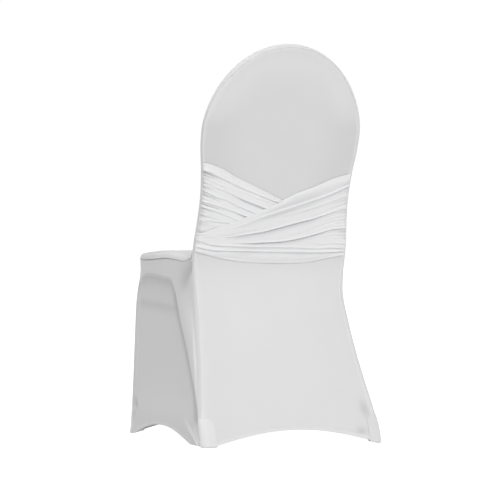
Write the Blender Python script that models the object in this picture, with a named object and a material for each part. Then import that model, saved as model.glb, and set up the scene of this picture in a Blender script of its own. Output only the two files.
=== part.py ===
"""Stretch cover with a crossed sash for a round-topped banquet chair.

The cover is modelled as it sits, pulled tight over the chair, which is left out.
+Z is up, the sitter faces -Y, and the origin is on the floor under the middle of the cover.
Left and right are those of somebody standing behind the chair and looking at its back,
so the left is on the +X side.
"""

import math
from collections import namedtuple

import bmesh
import bpy
import numpy as np

# Cloth, in metres.
CLOTH = 0.0015            # the body's knit, from face to face
SASH_CLOTH = 0.0012       # the sash is a finer knit
HEM_CLOTH = 0.0024        # a hem is the same cloth, turned up and stitched
HEM_WIDTH = 0.009
SEAM_GAP = 0.0004         # between two pieces that are sewn edge to edge
LAYER_GAP = 0.0006        # between two pieces that lie one on the other
OVER_GAP = 0.0004         # the over sash bridges a little where it crosses the other

# Overall size.
TOP = 0.9412              # the rim's line at the crown; the leaning roll reaches 0.945
HEM_LIFT = CLOTH + 2.0 * LAYER_GAP      # at a foot the hem sits inside its pocket's fold

# The round crown is half an ellipse, and the table below gives the sides under it.
CROWN_CENTRE = 0.711
CROWN_HALF_WIDTH = 0.206
CROWN_FROM = 0.760

# Rear outline: where the side and the back would meet in a sharp corner, and the
# radius that rounds that corner.
Rear = namedtuple("Rear", "height half_width rear_y corner")
REAR = [
    Rear(0.000, 0.2300, 0.2785, 0.0200),
    Rear(0.035, 0.2300, 0.2680, 0.0200),
    Rear(0.078, 0.2260, 0.2487, 0.0200),
    Rear(0.175, 0.2110, 0.2075, 0.0200),
    Rear(0.273, 0.2005, 0.1665, 0.0200),
    Rear(0.351, 0.1950, 0.1395, 0.0200),
    Rear(0.410, 0.1975, 0.1335, 0.0165),
    Rear(0.468, 0.1975, 0.1455, 0.0145),
    Rear(0.527, 0.1930, 0.1595, 0.0145),
    Rear(0.585, 0.1910, 0.1735, 0.0145),
    Rear(0.644, 0.1950, 0.1880, 0.0145),
    Rear(0.702, 0.2022, 0.2030, 0.0145),
    Rear(0.760, 0.2014, 0.2185, 0.0145),
    Rear(0.819, 0.1830, 0.2340, 0.0145),
    Rear(0.878, 0.1450, 0.2500, 0.0145),
    Rear(0.9412, 0.0000, 0.2682, 0.0145),
]
WAIST = 0.400             # below it the rim's sections are level, above it they lean
LEAN_OVER = 0.060         # height in which the one turns into the other

# Front outline, in the same way.
Front = namedtuple("Front", "height half_width front_y corner")
FRONT = [
    Front(0.000, 0.2110, -0.2760, 0.015),
    Front(0.043, 0.2096, -0.2712, 0.015),
    Front(0.083, 0.2093, -0.2690, 0.015),
    Front(0.163, 0.2060, -0.2680, 0.015),
    Front(0.323, 0.2000, -0.2670, 0.016),
    Front(0.363, 0.1985, -0.2650, 0.024),
    Front(0.400, 0.1980, -0.2630, 0.040),
    Front(0.445, 0.1980, -0.2620, 0.040),
]

# Side seams run round the rim. A turn of 90 degrees looks straight back, 0 straight out
# to the side and -90 straight forward. The cover sits a little twisted on its chair.
SEAM_TURN_LEFT = 45.0
SEAM_TURN_RIGHT = 72.0
SEAM_TURN_TOP = 58.0
FRONT_SEAM_TURN = -50.0

INNER_FOOT = 0.430        # foot of the inner back, level with the seat's seam behind

# The cloth bows between the rims.
REAR_BOW_LOW = 0.006
REAR_BOW_HIGH = 0.004
INNER_BOW = 0.010
INNER_BOW_FROM = 0.460
FRONT_BOW = -0.006

# Hem arches between the feet.
Arch = namedtuple("Arch", "centre half_span rise")
REAR_ARCH = Arch(-0.006, 0.209, 0.0335)
SIDE_ARCH = Arch(-0.025, 0.210, 0.0325)
FRONT_ARCH = Arch(0.000, 0.190, 0.0325)
ARCH_REACH = 0.250        # height in which the arch fades out of the cloth's rows

# Seam round the seat's top, wavy along the sides.
SeatSeam = namedtuple("SeatSeam", "depth height")
SEAT_SEAM = [
    SeatSeam(-0.262, 0.4345),
    SeatSeam(-0.215, 0.4340),
    SeatSeam(-0.144, 0.4350),
    SeatSeam(-0.052, 0.4390),
    SeatSeam(0.007, 0.4360),
    SeatSeam(0.060, 0.4320),
    SeatSeam(0.098, 0.4300),
    SeatSeam(0.140, 0.4300),
]
SEAT_CORNER = 0.005       # rounding of the seat piece at the foot of the back
SEAT_FLAT = 0.4345        # seam height that the crown starts from
Ring = namedtuple("Ring", "inset rise tilt")
SEAT_RINGS = [
    Ring(0.000, 0.0006, 0),
    Ring(0.000, 0.0045, 15),
    Ring(0.003, 0.0090, 50),
    Ring(0.010, 0.0125, 72),
    Ring(0.028, 0.0170, 82),
    Ring(0.057, 0.0210, 88),
    Ring(0.085, 0.0215, 90),
]

# The side cloth sinks in under the seat rail, in front of the rear leg.
RAIL_HEIGHT = 0.396
LEG_LINE_TOP = (-0.0055, 0.362)       # depth and height
LEG_LINE_FOOT = (0.2145, 0.050)
FIELD_CORNER = 0.030
FIELD_DEPTH = 0.006
FIELD_STEP = 0.010
FRONT_LEG_STEP = 0.018
FIELD_FOOT = 0.050                    # near the hem the cloth is taut from foot to foot
FIELD_FADE = 0.070
TUCK_DEPTH = 0.009                    # pulled in between seat and backrest
TUCK_WIDTH = 0.009
TUCK_TOP = (0.104, 0.430)
TUCK_FOOT = (0.112, 0.376)

# Foot pockets.
POCKET_GAP = 0.0012
REAR_POCKET_TOP = 0.066
FRONT_POCKET_TOP = 0.050
POCKET_CORNER = 0.018
POCKET_INNER_TOP = 0.042
REAR_POCKET_SIDE = 0.192              # where it ends along the side
REAR_POCKET_BACK = 0.1950             # where it ends along the back
FRONT_POCKET_SIDE = -0.196
FRONT_POCKET_FRONT = 0.172

# Sash: heights of its edges and creases across the back, from the right seam to the left.
SPREAD = (-0.19, -0.10, 0.0, 0.10, 0.19)
Crease = namedtuple("Crease", "right near_right middle near_left left")
OVER_SASH = [
    Crease(0.6460, 0.6090, 0.5680, 0.5270, 0.4990),
    Crease(0.6230, 0.5880, 0.5510, 0.5150, 0.4950),
    Crease(0.5900, 0.5600, 0.5270, 0.5010, 0.4905),
    Crease(0.5600, 0.5320, 0.5050, 0.4900, 0.4860),
    Crease(0.5080, 0.4945, 0.4790, 0.4745, 0.4770),
    Crease(0.4750, 0.4750, 0.4720, 0.4700, 0.4725),
    Crease(0.4630, 0.4640, 0.4650, 0.4660, 0.4690),
    Crease(0.4530, 0.4520, 0.4530, 0.4550, 0.4620),
    Crease(0.4440, 0.4285, 0.4260, 0.4310, 0.4560),
]
UNDER_SASH = [
    Crease(0.5150, 0.5450, 0.5890, 0.6310, 0.6625),
    Crease(0.5050, 0.5300, 0.5710, 0.6100, 0.6455),
    Crease(0.4950, 0.5120, 0.5460, 0.5850, 0.6195),
    Crease(0.4850, 0.4970, 0.5250, 0.5630, 0.5965),
    Crease(0.4780, 0.4860, 0.5080, 0.5430, 0.5710),
    Crease(0.4700, 0.4760, 0.4950, 0.5240, 0.5535),
    Crease(0.4640, 0.4680, 0.4840, 0.5060, 0.5290),
    Crease(0.4560, 0.4560, 0.4600, 0.4660, 0.4800),
]
FOLD_HEIGHT = 0.0035      # a full fold stands this far off its creases
FOLD_SHARE = 0.16         # a narrow fold stands off by this share of its width
CROSSING_MARGIN = 0.016   # the under sash lies flat this far outside the over sash

BODY_WHITE = (0.80, 0.80, 0.81)
POCKET_WHITE = (0.85, 0.85, 0.86)
SASH_WHITE = (0.90, 0.90, 0.91)

# How finely the cloth is divided.
RIM_STEPS = 3
INNER_RIM_STEPS = 4
BACK_STEPS = 6
INNER_STEPS = 6
SASH_STEPS = 10
LEG_FACE_STEPS = (0.08, 0.20, 0.5, 1.0)
FIELD_STEPS = (0.0, 0.15, 0.3, 0.45, 0.6, 0.75, 0.88)
BEHIND_FRONT_LEG = (0.018, 0.0)
HEM_ROWS = (HEM_LIFT, HEM_LIFT + HEM_WIDTH, HEM_LIFT + HEM_WIDTH + 0.001)
LOWER_ROWS = (0.045, 0.09, 0.15, 0.22, 0.29, 0.335, 0.365, 0.385, 0.397, 0.412)
FRONT_ROWS = (0.045, 0.09, 0.18, 0.30, 0.365, 0.397)
UPPER_ROWS = (0.45, 0.465, 0.48, 0.50, 0.53, 0.57, 0.61, 0.66, 0.71, 0.76)
POCKET_STEPS = (0.0, 0.25, 0.6, 1.0)
POCKET_STATIONS = [("side", share) for share in (0.0, 0.2, 0.45, 0.7, 1.0)]
POCKET_STATIONS += [("corner", share) for share in (0.2, 0.4, 0.6, 0.8, 1.0)]
POCKET_STATIONS += [("end", 0.5), ("end", 1.0)]
CROWN_ANGLES = (24, 36, 48, 60, 70, 80, 90)


def clear_scene():
    for thing in list(bpy.data.objects):
        bpy.data.objects.remove(thing, do_unlink=True)


def ease(share):
    """A soft step from 0 to 1."""
    share = min(max(share, 0.0), 1.0)
    return share * share * (3.0 - 2.0 * share)


def blend(start, end, share):
    return start + (end - start) * share


def smooth_through(places, values, at):
    """A smooth curve through a short table of values."""
    at = min(max(at, places[0]), places[-1])
    row = max(i for i in range(len(places) - 1) if places[i] <= at)
    last = len(places) - 1

    def slope(i):
        before, after = max(i - 1, 0), min(i + 1, last)
        return (values[after] - values[before]) / (places[after] - places[before])

    width = places[row + 1] - places[row]
    share = (at - places[row]) / width
    step = share * share * (3.0 - 2.0 * share)
    rising = share * (1.0 - share) ** 2 * width * slope(row)
    falling = share * share * (1.0 - share) * width * slope(row + 1)
    return blend(values[row], values[row + 1], step) + rising - falling


def column(table, name, at):
    places = [row[0] for row in table]
    return smooth_through(places, [getattr(row, name) for row in table], at)


def rear_y(height):
    return column(REAR, "rear_y", height)


def leaning(height):
    return ease((height - WAIST) / LEAN_OVER)


def back_frame(height):
    """The back's up direction and its outward normal at a height."""
    step = 0.002
    slope = (rear_y(height + step) - rear_y(height - step)) / (2.0 * step)
    slope *= leaning(height)
    up = np.array([0.0, slope, 1.0]) / math.hypot(slope, 1.0)
    normal = np.array([0.0, 1.0, -slope]) / math.hypot(slope, 1.0)
    return up, normal


def outline(height):
    """Half width of the back, and the outline's outward direction across and up."""
    if height < CROWN_FROM:
        step = 0.002
        half = column(REAR, "half_width", height)
        rise = column(REAR, "half_width", height + step)
        fall = column(REAR, "half_width", height - step)
        across, up = 1.0, -leaning(height) * (rise - fall) / (2.0 * step)
    else:
        crown = TOP - CROWN_CENTRE
        share = min((height - CROWN_CENTRE) / crown, 1.0)
        half = CROWN_HALF_WIDTH * math.sqrt(1.0 - share * share)
        across, up = half / CROWN_HALF_WIDTH ** 2, share / crown
    length = math.hypot(across, up)
    return half, across / length, up / length


def rim(side, height, turn, lift=0.0):
    """A point on the rounded rim of the back, or on the corner of a rear leg."""
    half, across, up_share = outline(height)
    radius = column(REAR, "corner", height)
    level = height - radius * up_share
    up, normal = back_frame(level)
    flat = np.array([side * (half - radius * across), rear_y(level), level])
    outward = np.array([side * across, 0.0, 0.0]) + up_share * up
    angle = math.radians(turn)
    centre = flat - radius * normal
    return centre + (radius + lift) * (math.cos(angle) * outward + math.sin(angle) * normal)


def seam_turn(side, height):
    turn = SEAM_TURN_LEFT if side > 0 else SEAM_TURN_RIGHT
    return blend(turn, SEAM_TURN_TOP, ease((height - CROWN_FROM) / (TOP - CROWN_FROM)))


def rear_bow(height):
    if height < WAIST:
        return REAR_BOW_LOW * math.sin(math.pi * max(height, 0.0) / WAIST)
    return REAR_BOW_HIGH * math.sin(math.pi * (height - WAIST) / (TOP - WAIST))


def arch(shape, place):
    share = (place - shape.centre) / shape.half_span
    return HEM_LIFT + shape.rise * max(0.0, 1.0 - share * share) ** 1.15


def on_back(across, height, lift=0.0):
    """A point of the outer back, at a distance across it from its middle line."""
    half, out, up_share = outline(height)
    radius = column(REAR, "corner", height)
    flat = half - radius * out
    if abs(across) > flat:
        side = math.copysign(1.0, across)
        return rim(side, height, 90.0 - math.degrees((abs(across) - flat) / radius), lift)
    share = across / flat if flat > 0.0 else 0.0
    left, right = rim(1, height, 90.0, lift), rim(-1, height, 90.0, lift)
    level = height - radius * up_share
    normal = back_frame(level)[1]
    return blend(right, left, 0.5 + 0.5 * share) + rear_bow(level) * (1.0 - share ** 2) * normal


def hem_lifted(height, place, shape):
    """Height of a row that follows the hem's arch near the floor."""
    fade = max(0.0, 1.0 - height / ARCH_REACH)
    return height + (arch(shape, place) - HEM_LIFT) * fade


def across_back(height, middle_steps):
    """Places across the outer back, from the left seam to the right one."""
    half, out, up_share = outline(height)
    radius = column(REAR, "corner", height)
    flat = half - radius * out
    gap = math.degrees(0.5 * SEAM_GAP / radius)
    ends = []
    for side in (1, -1):
        turns = np.linspace(seam_turn(side, height) + gap, 90.0, RIM_STEPS + 1)[:-1]
        ends.append([side * (flat + radius * math.radians(90.0 - turn)) for turn in turns])
    middle = list(np.linspace(flat, -flat, middle_steps + 1))
    return ends[0] + middle + ends[1][::-1]


def crown_heights():
    crown = TOP - CROWN_CENTRE
    return [CROWN_CENTRE + crown * math.sin(math.radians(angle)) for angle in CROWN_ANGLES]


def front_rim(side, height, turn, lift=0.0):
    """A point on the rounded corner at a front leg, or at the front of the seat."""
    radius = column(FRONT, "corner", height)
    angle = math.radians(turn)
    reach = radius + lift
    across = column(FRONT, "half_width", height) - radius + reach * math.cos(angle)
    depth = column(FRONT, "front_y", height) + radius + reach * math.sin(angle)
    return np.array([side * across, depth, height])


def side_ends(height):
    """Depths at which the side's flat stretch begins, at the rear and at the front."""
    rear = rear_y(height) - column(REAR, "corner", height)
    front = column(FRONT, "front_y", height) + column(FRONT, "corner", height)
    return rear, front


def side_dip(depth, height):
    """How far the side cloth is pulled in: under the seat rail, and behind the seat."""
    (top_y, top_z), (foot_y, foot_z) = LEG_LINE_TOP, LEG_LINE_FOOT
    length = math.hypot(foot_y - top_y, foot_z - top_z)
    past_leg = ((depth - top_y) * (foot_z - top_z) - (height - top_z) * (foot_y - top_y)) / length
    below_rail = RAIL_HEIGHT - height
    share = min(max(0.5 + 0.5 * (past_leg - below_rail) / FIELD_CORNER, 0.0), 1.0)
    inside = blend(past_leg, below_rail, share) - FIELD_CORNER * share * (1.0 - share)
    rear, front = side_ends(height)
    field = FIELD_DEPTH * ease(inside / FIELD_STEP) * ease((depth - front) / FRONT_LEG_STEP)
    field *= ease((height - FIELD_FOOT) / FIELD_FADE)
    down = (height - TUCK_FOOT[1]) / (TUCK_TOP[1] - TUCK_FOOT[1])
    middle = blend(TUCK_FOOT[0], TUCK_TOP[0], down)
    tuck = TUCK_DEPTH * math.exp(-((depth - middle) / TUCK_WIDTH) ** 2) * ease(down)
    return field + tuck * ease((rear - depth) / TUCK_WIDTH)


def on_side(side, depth, height, lift=0.0):
    rear, front = side_ends(height)
    share = (rear - depth) / (rear - front)
    rear_x = column(REAR, "half_width", height)
    front_x = column(FRONT, "half_width", height)
    across = blend(rear_x, front_x, share) - side_dip(depth, height)
    return np.array([side * (across + lift), depth, height])


def seat_seam(depth):
    return column(SEAT_SEAM, "height", depth)


def sheet(name, colour, outer, inner):
    """A closed sheet of cloth, from the grids of points of its two faces."""
    outer, inner = np.asarray(outer), np.asarray(inner)
    number, points, backs = {}, [], []
    rows, columns = outer.shape[:2]
    index = np.zeros((rows, columns), dtype=int)
    for i in range(rows):
        for j in range(columns):
            key = tuple(np.round(outer[i, j], 6) + 0.0)
            if key not in number:
                number[key] = len(points)
                points.append(outer[i, j])
                backs.append(inner[i, j])
            index[i, j] = number[key]
    faces = []
    for i in range(rows - 1):
        for j in range(columns - 1):
            loop = [index[i, j], index[i, j + 1], index[i + 1, j + 1], index[i + 1, j]]
            loop = [int(v) for k, v in enumerate(loop) if v != loop[k - 1]]
            if len(set(loop)) == len(loop) >= 3:
                faces.append(loop)
    edges = {(face[k - 1], face[k]) for face in faces for k in range(len(face))}
    border = sorted(edge for edge in edges if edge[::-1] not in edges)
    count = len(points)
    edge_faces = [[b, a, a + count, b + count] for a, b in border]
    back_faces = [[v + count for v in reversed(face)] for face in faces]
    mesh = bpy.data.meshes.new(name)
    mesh.from_pydata(points + backs, [], faces + back_faces + edge_faces)
    solid = bmesh.new()
    solid.from_mesh(mesh)
    bmesh.ops.recalc_face_normals(solid, faces=solid.faces)
    solid.to_mesh(mesh)
    solid.free()
    mesh.shade_smooth()
    mesh.materials.append(knit(name, colour))
    piece = bpy.data.objects.new(name, mesh)
    bpy.context.scene.collection.objects.link(piece)
    return piece


def knit(name, colour):
    material = bpy.data.materials.new(name + "_knit")
    material.use_nodes = True
    surface = material.node_tree.nodes["Principled BSDF"]
    surface.inputs["Base Color"].default_value = (*colour, 1.0)
    surface.inputs["Roughness"].default_value = 0.75
    surface.inputs["Metallic"].default_value = 0.0
    return material


def thickness(above_hem):
    """The cloth is doubled where it is turned up at the hem."""
    return HEM_CLOTH if above_hem < HEM_WIDTH + 0.0001 else CLOTH


def back_panel():
    heights = [*HEM_ROWS, *LOWER_ROWS, INNER_FOOT, *UPPER_ROWS, *crown_heights()]
    outer, inner = [], []
    for height in heights:
        depth = thickness(height - HEM_LIFT)
        places = across_back(height, BACK_STEPS)
        levels = [hem_lifted(height, place, REAR_ARCH) for place in places]
        outer.append([on_back(a, z) for a, z in zip(places, levels)])
        inner.append([on_back(a, z, -depth) for a, z in zip(places, levels)])
    sheet("back_panel", BODY_WHITE, outer, inner)


def inner_back():
    heights = [INNER_FOOT + 0.5 * SEAM_GAP, *UPPER_ROWS, *crown_heights()]

    def row(height, lift):
        radius = column(REAR, "corner", height)
        gap = math.degrees(0.5 * SEAM_GAP / radius)
        halves = []
        for side in (1, -1):
            turns = np.linspace(seam_turn(side, height) - gap, -90.0, INNER_RIM_STEPS + 1)
            halves.append([rim(side, height, turn, lift) for turn in turns])
        share = max(0.0, (height - INNER_BOW_FROM) / (TOP - INNER_BOW_FROM))
        bow = INNER_BOW * math.sin(math.pi * share) * back_frame(height)[1]
        left, right = halves[0][-1], halves[1][-1]
        steps = np.linspace(-1.0, 1.0, INNER_STEPS + 1)[1:-1]
        middle = [blend(left, right, 0.5 + 0.5 * s) - bow * (1.0 - s * s) for s in steps]
        return halves[0] + middle + halves[1][::-1]

    outer = [row(height, 0.0) for height in heights]
    inner = [row(height, -CLOTH) for height in heights]
    sheet("inner_back", BODY_WHITE, outer, inner)


def side_skirt(side, name):
    rows = (*HEM_ROWS, *LOWER_ROWS, INNER_FOOT)
    shares = [(height - HEM_LIFT) / (INNER_FOOT - HEM_LIFT) for height in rows]

    def point(share, depth, lift):
        low, high = arch(SIDE_ARCH, depth), seat_seam(depth) - 0.5 * SEAM_GAP
        return on_side(side, depth, blend(low, high, share), lift)

    def row(share, lift):
        rear_z = blend(HEM_LIFT, INNER_FOOT - 0.5 * SEAM_GAP, share)
        gap = math.degrees(0.5 * SEAM_GAP / column(REAR, "corner", rear_z))
        turns = np.linspace(seam_turn(side, rear_z) - gap, 0.0, RIM_STEPS + 1)
        points = [rim(side, rear_z, turn, lift) for turn in turns]
        front_z = blend(HEM_LIFT, SEAT_SEAM[0].height - 0.5 * SEAM_GAP, share)
        start, end = points[-1][1], side_ends(front_z)[1]
        (top_y, top_z), (foot_y, foot_z) = LEG_LINE_TOP, LEG_LINE_FOOT
        line_share = (min(rear_z, top_z) - foot_z) / (top_z - foot_z)
        fold = blend(foot_y, top_y, line_share)
        past = fold - FIELD_STEP * 1.25
        depths = [blend(start, fold, s) for s in LEG_FACE_STEPS]
        depths += [blend(past, end, s) for s in FIELD_STEPS]
        depths += [end + behind for behind in BEHIND_FRONT_LEG]
        points += [point(share, depth, lift) for depth in depths]
        gap = math.degrees(0.5 * SEAM_GAP / column(FRONT, "corner", front_z))
        turns = np.linspace(0.0, FRONT_SEAM_TURN + gap, RIM_STEPS + 1)
        return points + [front_rim(side, front_z, turn, lift) for turn in turns]

    outer = [row(share, 0.0) for share in shares]
    inner = [row(share, -thickness(share * SEAT_FLAT)) for share in shares]
    sheet(name, BODY_WHITE, outer, inner)


def front_skirt():
    rows = (*HEM_ROWS, *FRONT_ROWS, INNER_FOOT)
    shares = [(height - HEM_LIFT) / (INNER_FOOT - HEM_LIFT) for height in rows]

    def row(share, lift):
        top = SEAT_SEAM[0].height - 0.5 * SEAM_GAP
        level = blend(HEM_LIFT, top, share)
        gap = math.degrees(0.5 * SEAM_GAP / column(FRONT, "corner", level))
        turns = np.linspace(FRONT_SEAM_TURN - gap, -90.0, RIM_STEPS + 1)
        left = [front_rim(1, level, turn, lift) for turn in turns]
        right = [front_rim(-1, level, turn, lift) for turn in turns]
        middle = []
        for s in np.linspace(1.0, -1.0, BACK_STEPS + 1)[1:-1]:
            across = s * left[-1][0]
            height = blend(arch(FRONT_ARCH, across), top, share)
            ends = front_rim(1, height, -90.0, lift)
            bow = FRONT_BOW * (1.0 - s * s) * math.sin(math.pi * share)
            middle.append(np.array([s * ends[0], ends[1] + bow, height]))
        return left + middle + right[::-1]

    outer = [row(share, 0.0) for share in shares]
    inner = [row(share, -thickness(share * SEAT_FLAT)) for share in shares]
    sheet("front_skirt", BODY_WHITE, outer, inner)


def seat_outline():
    """Plan points round the seat's seam with their outward directions, left half."""
    corner_x, rear = rim(1, INNER_FOOT, -90.0, 2.0 * LAYER_GAP)[:2]
    front = side_ends(SEAT_FLAT)[1]
    points = [((x, rear), (0.0, 1.0)) for x in np.linspace(0.0, corner_x, 5)]
    points.append(((corner_x + SEAT_CORNER, rear - 0.6 * SEAT_CORNER), (0.6, 0.8)))
    start = rear - 1.4 * SEAT_CORNER
    for depth in (start, start - 0.008, *np.linspace(start - 0.020, front, 8)):
        points.append((tuple(on_side(1, depth, seat_seam(depth))[:2]), (1.0, 0.0)))
    for turn in np.linspace(0.0, -90.0, 5)[1:]:
        angle = math.radians(turn)
        points.append((tuple(front_rim(1, SEAT_FLAT, turn)[:2]), (math.cos(angle), math.sin(angle))))
    edge = points[-1][0]
    points += [((x, edge[1]), (0.0, -1.0)) for x in np.linspace(edge[0], 0.0, 4)[1:]]
    return points


def seat_panel():
    left = seat_outline()
    right = [((-x, y), (-nx, ny)) for (x, y), (nx, ny) in left[::-1]]
    around = left + right[1:]
    wide, rear, front = on_side(1, 0.0, SEAT_FLAT)[0], left[0][0][1], left[-1][0][1]
    middle, deep = 0.5 * (rear + front), 0.5 * (rear - front)
    outer, inner = [], []
    for ring in SEAT_RINGS:
        tilt = math.radians(ring.tilt)
        outer_row, inner_row = [], []
        for (x, y), (nx, ny) in around:
            base = blend(seat_seam(y), SEAT_FLAT, ease(ring.inset / SEAT_RINGS[-2].inset))
            plan_x = x * (1.0 - ring.inset / wide)
            plan_y = middle + (y - middle) * (1.0 - ring.inset / deep)
            point = np.array([plan_x, plan_y, base + ring.rise])
            normal = np.array([nx * math.cos(tilt), ny * math.cos(tilt), math.sin(tilt)])
            outer_row.append(point)
            inner_row.append(point - CLOTH * normal)
        outer.append(outer_row)
        inner.append(inner_row)
    top = np.array([0.0, middle, SEAT_FLAT + SEAT_RINGS[-1].rise])
    outer.append([top] * len(around))
    inner.append([top - np.array([0.0, 0.0, CLOTH])] * len(around))
    sheet("seat_panel", BODY_WHITE, outer, inner)


def rear_pocket_point(side, stretch, share, height, lift):
    """A point round a rear foot: along the side, round the corner, then behind."""
    if stretch == "side":
        depth = blend(REAR_POCKET_SIDE, side_ends(height)[0], share)
        return on_side(side, depth, height, lift)
    if stretch == "corner":
        return rim(side, height, 90.0 * share, lift)
    flat = column(REAR, "half_width", height) - column(REAR, "corner", height)
    return on_back(side * blend(flat, REAR_POCKET_BACK, share), height, lift)


def front_pocket_point(side, stretch, share, height, lift):
    """The same round a front foot: along the side, round the corner, then in front."""
    if stretch == "side":
        depth = blend(FRONT_POCKET_SIDE, side_ends(height)[1], share)
        return on_side(side, depth, height, lift)
    if stretch == "corner":
        return front_rim(side, height, -90.0 * share, lift)
    corner = front_rim(side, height, -90.0, lift)
    return np.array([side * blend(abs(corner[0]), FRONT_POCKET_FRONT, share), corner[1], height])


def foot_pocket(name, point, side, outer_top):
    """A patch that covers the foot outside, folds under the hem and stands up inside."""
    ends = [point(side, *station, POCKET_INNER_TOP, 0.0) for station in POCKET_STATIONS]
    lengths = [0.0]
    for before, after in zip(ends, ends[1:]):
        lengths.append(lengths[-1] + float(np.linalg.norm(after - before)))
    whole = lengths[-1]

    def profile(station, along, depth):
        """The patch's section: depth is 0 on its face towards the leg, or its thickness."""
        outside, inside = POCKET_GAP + depth, -HEM_CLOTH - POCKET_GAP - depth
        near_end = min(along, whole - along, POCKET_CORNER)
        drop = POCKET_CORNER - math.sqrt(POCKET_CORNER ** 2 - (POCKET_CORNER - near_end) ** 2)
        hem = arch(SIDE_ARCH, point(side, *station, HEM_LIFT, 0.0)[1])
        sole = hem - HEM_LIFT + CLOTH - depth

        def inner_wall(height):
            start = point(side, *POCKET_STATIONS[0], height, inside)
            end = point(side, *POCKET_STATIONS[-1], height, inside)
            return blend(start, end, along / whole)

        top = outer_top - drop
        points = [point(side, *station, blend(top, sole, s), outside) for s in POCKET_STEPS]
        points += [blend(points[-1], inner_wall(sole), s) for s in (0.5, 1.0)]
        return points + [inner_wall(blend(sole, POCKET_INNER_TOP, s)) for s in (0.5, 1.0)]

    stations = list(zip(POCKET_STATIONS, lengths))
    outer = [profile(station, along, CLOTH) for station, along in stations]
    inner = [profile(station, along, 0.0) for station, along in stations]
    sheet(name, POCKET_WHITE, outer, inner)


def crease_height(crease, across):
    return smooth_through(SPREAD, crease, across)


def covered(across, height):
    """1 where the under sash shows, 0 where the over sash holds it flat."""
    edge = crease_height(OVER_SASH[0], across)
    return ease((height - edge - CROSSING_MARGIN) / CROSSING_MARGIN)


def sash(name, creases, base, shown):
    """A gathered band: each row is a crease, or the ridge between two creases."""
    rows = []
    for upper, lower in zip(creases, creases[1:]):
        rows += [(upper, upper), (upper, lower)]
    rows.append((creases[-1], creases[-1]))
    columns = 2 * RIM_STEPS + SASH_STEPS + 1

    def place(pair, k):
        height = 0.5 * (pair[0].middle + pair[1].middle)
        for _ in range(4):
            across = across_back(height, SASH_STEPS)[k]
            high, low = crease_height(pair[0], across), crease_height(pair[1], across)
            height = 0.5 * (high + low)
        relief = min(FOLD_HEIGHT, FOLD_SHARE * abs(high - low)) * shown(across, height)
        return across, height, relief

    outer, inner = [], []
    for pair in rows:
        spots = [place(pair, k) for k in range(columns)]
        outer.append([on_back(a, z, base + SASH_CLOTH + relief) for a, z, relief in spots])
        inner.append([on_back(a, z, base + relief) for a, z, relief in spots])
    sheet(name, SASH_WHITE, outer, inner)


def main():
    clear_scene()
    back_panel()
    inner_back()
    seat_panel()
    front_skirt()
    for side, name in ((1, "left"), (-1, "right")):
        side_skirt(side, "side_skirt_" + name)
        foot_pocket("foot_pocket_rear_" + name, rear_pocket_point, side, REAR_POCKET_TOP)
        foot_pocket("foot_pocket_front_" + name, front_pocket_point, side, FRONT_POCKET_TOP)
    sash("sash_under", UNDER_SASH, LAYER_GAP, covered)
    over_base = 2.0 * LAYER_GAP + SASH_CLOTH + OVER_GAP
    sash("sash_over", OVER_SASH, over_base, lambda across, height: 1.0)


main()
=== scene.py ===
# %% [markdown]
# # A stretch chair cover with a crossed sash
#
# The object is a banquet chair cover: white stretch cloth pulled tight over a round-topped chair,
# with two gathered sash bands crossing on the back. The chair itself is left out.
# The CAD model holds each cut piece of cloth as a plain solid. Here every one of those solids is
# hidden, and a finer piece of cloth with its seams, folds and stitches lies in the same place.
#
# +Z is up, the sitter faces -Y, and everything is in metres. Left and right are those of somebody
# who stands behind the chair and looks at its back, so the left is on the +X side.

import math

import bpy
import numpy as np
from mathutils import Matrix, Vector


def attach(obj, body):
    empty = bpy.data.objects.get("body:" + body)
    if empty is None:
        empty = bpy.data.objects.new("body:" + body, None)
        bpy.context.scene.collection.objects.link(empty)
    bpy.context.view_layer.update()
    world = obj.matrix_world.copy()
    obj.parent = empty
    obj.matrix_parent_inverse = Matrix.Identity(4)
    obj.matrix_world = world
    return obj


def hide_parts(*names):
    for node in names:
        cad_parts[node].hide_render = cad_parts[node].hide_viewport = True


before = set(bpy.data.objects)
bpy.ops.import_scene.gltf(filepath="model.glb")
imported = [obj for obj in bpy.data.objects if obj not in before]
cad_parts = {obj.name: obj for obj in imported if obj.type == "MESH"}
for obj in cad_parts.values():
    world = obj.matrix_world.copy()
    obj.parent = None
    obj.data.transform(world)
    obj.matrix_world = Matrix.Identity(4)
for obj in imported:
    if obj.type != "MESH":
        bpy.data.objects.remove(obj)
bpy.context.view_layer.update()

# %% [markdown]
# ## Soft steps and curves
# Cloth has no sharp corners in its outline, so every size that changes over a length comes from a
# short table with a smooth curve through it. The same curve is used in the CAD, which is why the
# pieces made here fall on the CAD solids without any fitting.


# %% Soft steps and curves
def ease(share):
    """A soft step from 0 to 1."""
    share = np.clip(share, 0.0, 1.0)
    return share * share * (3.0 - 2.0 * share)


def mix(start, end, share):
    return start + (end - start) * share


def between(start, end, count):
    """Evenly spaced columns that lead from one place to another, without the first."""
    return mix(start, end, np.linspace(0.0, 1.0, count)[None, 1:])


def hump(distance, width):
    """A soft bump, 1 in its middle, which has faded at about twice its width."""
    return np.exp(-(distance / width) ** 2)


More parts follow.
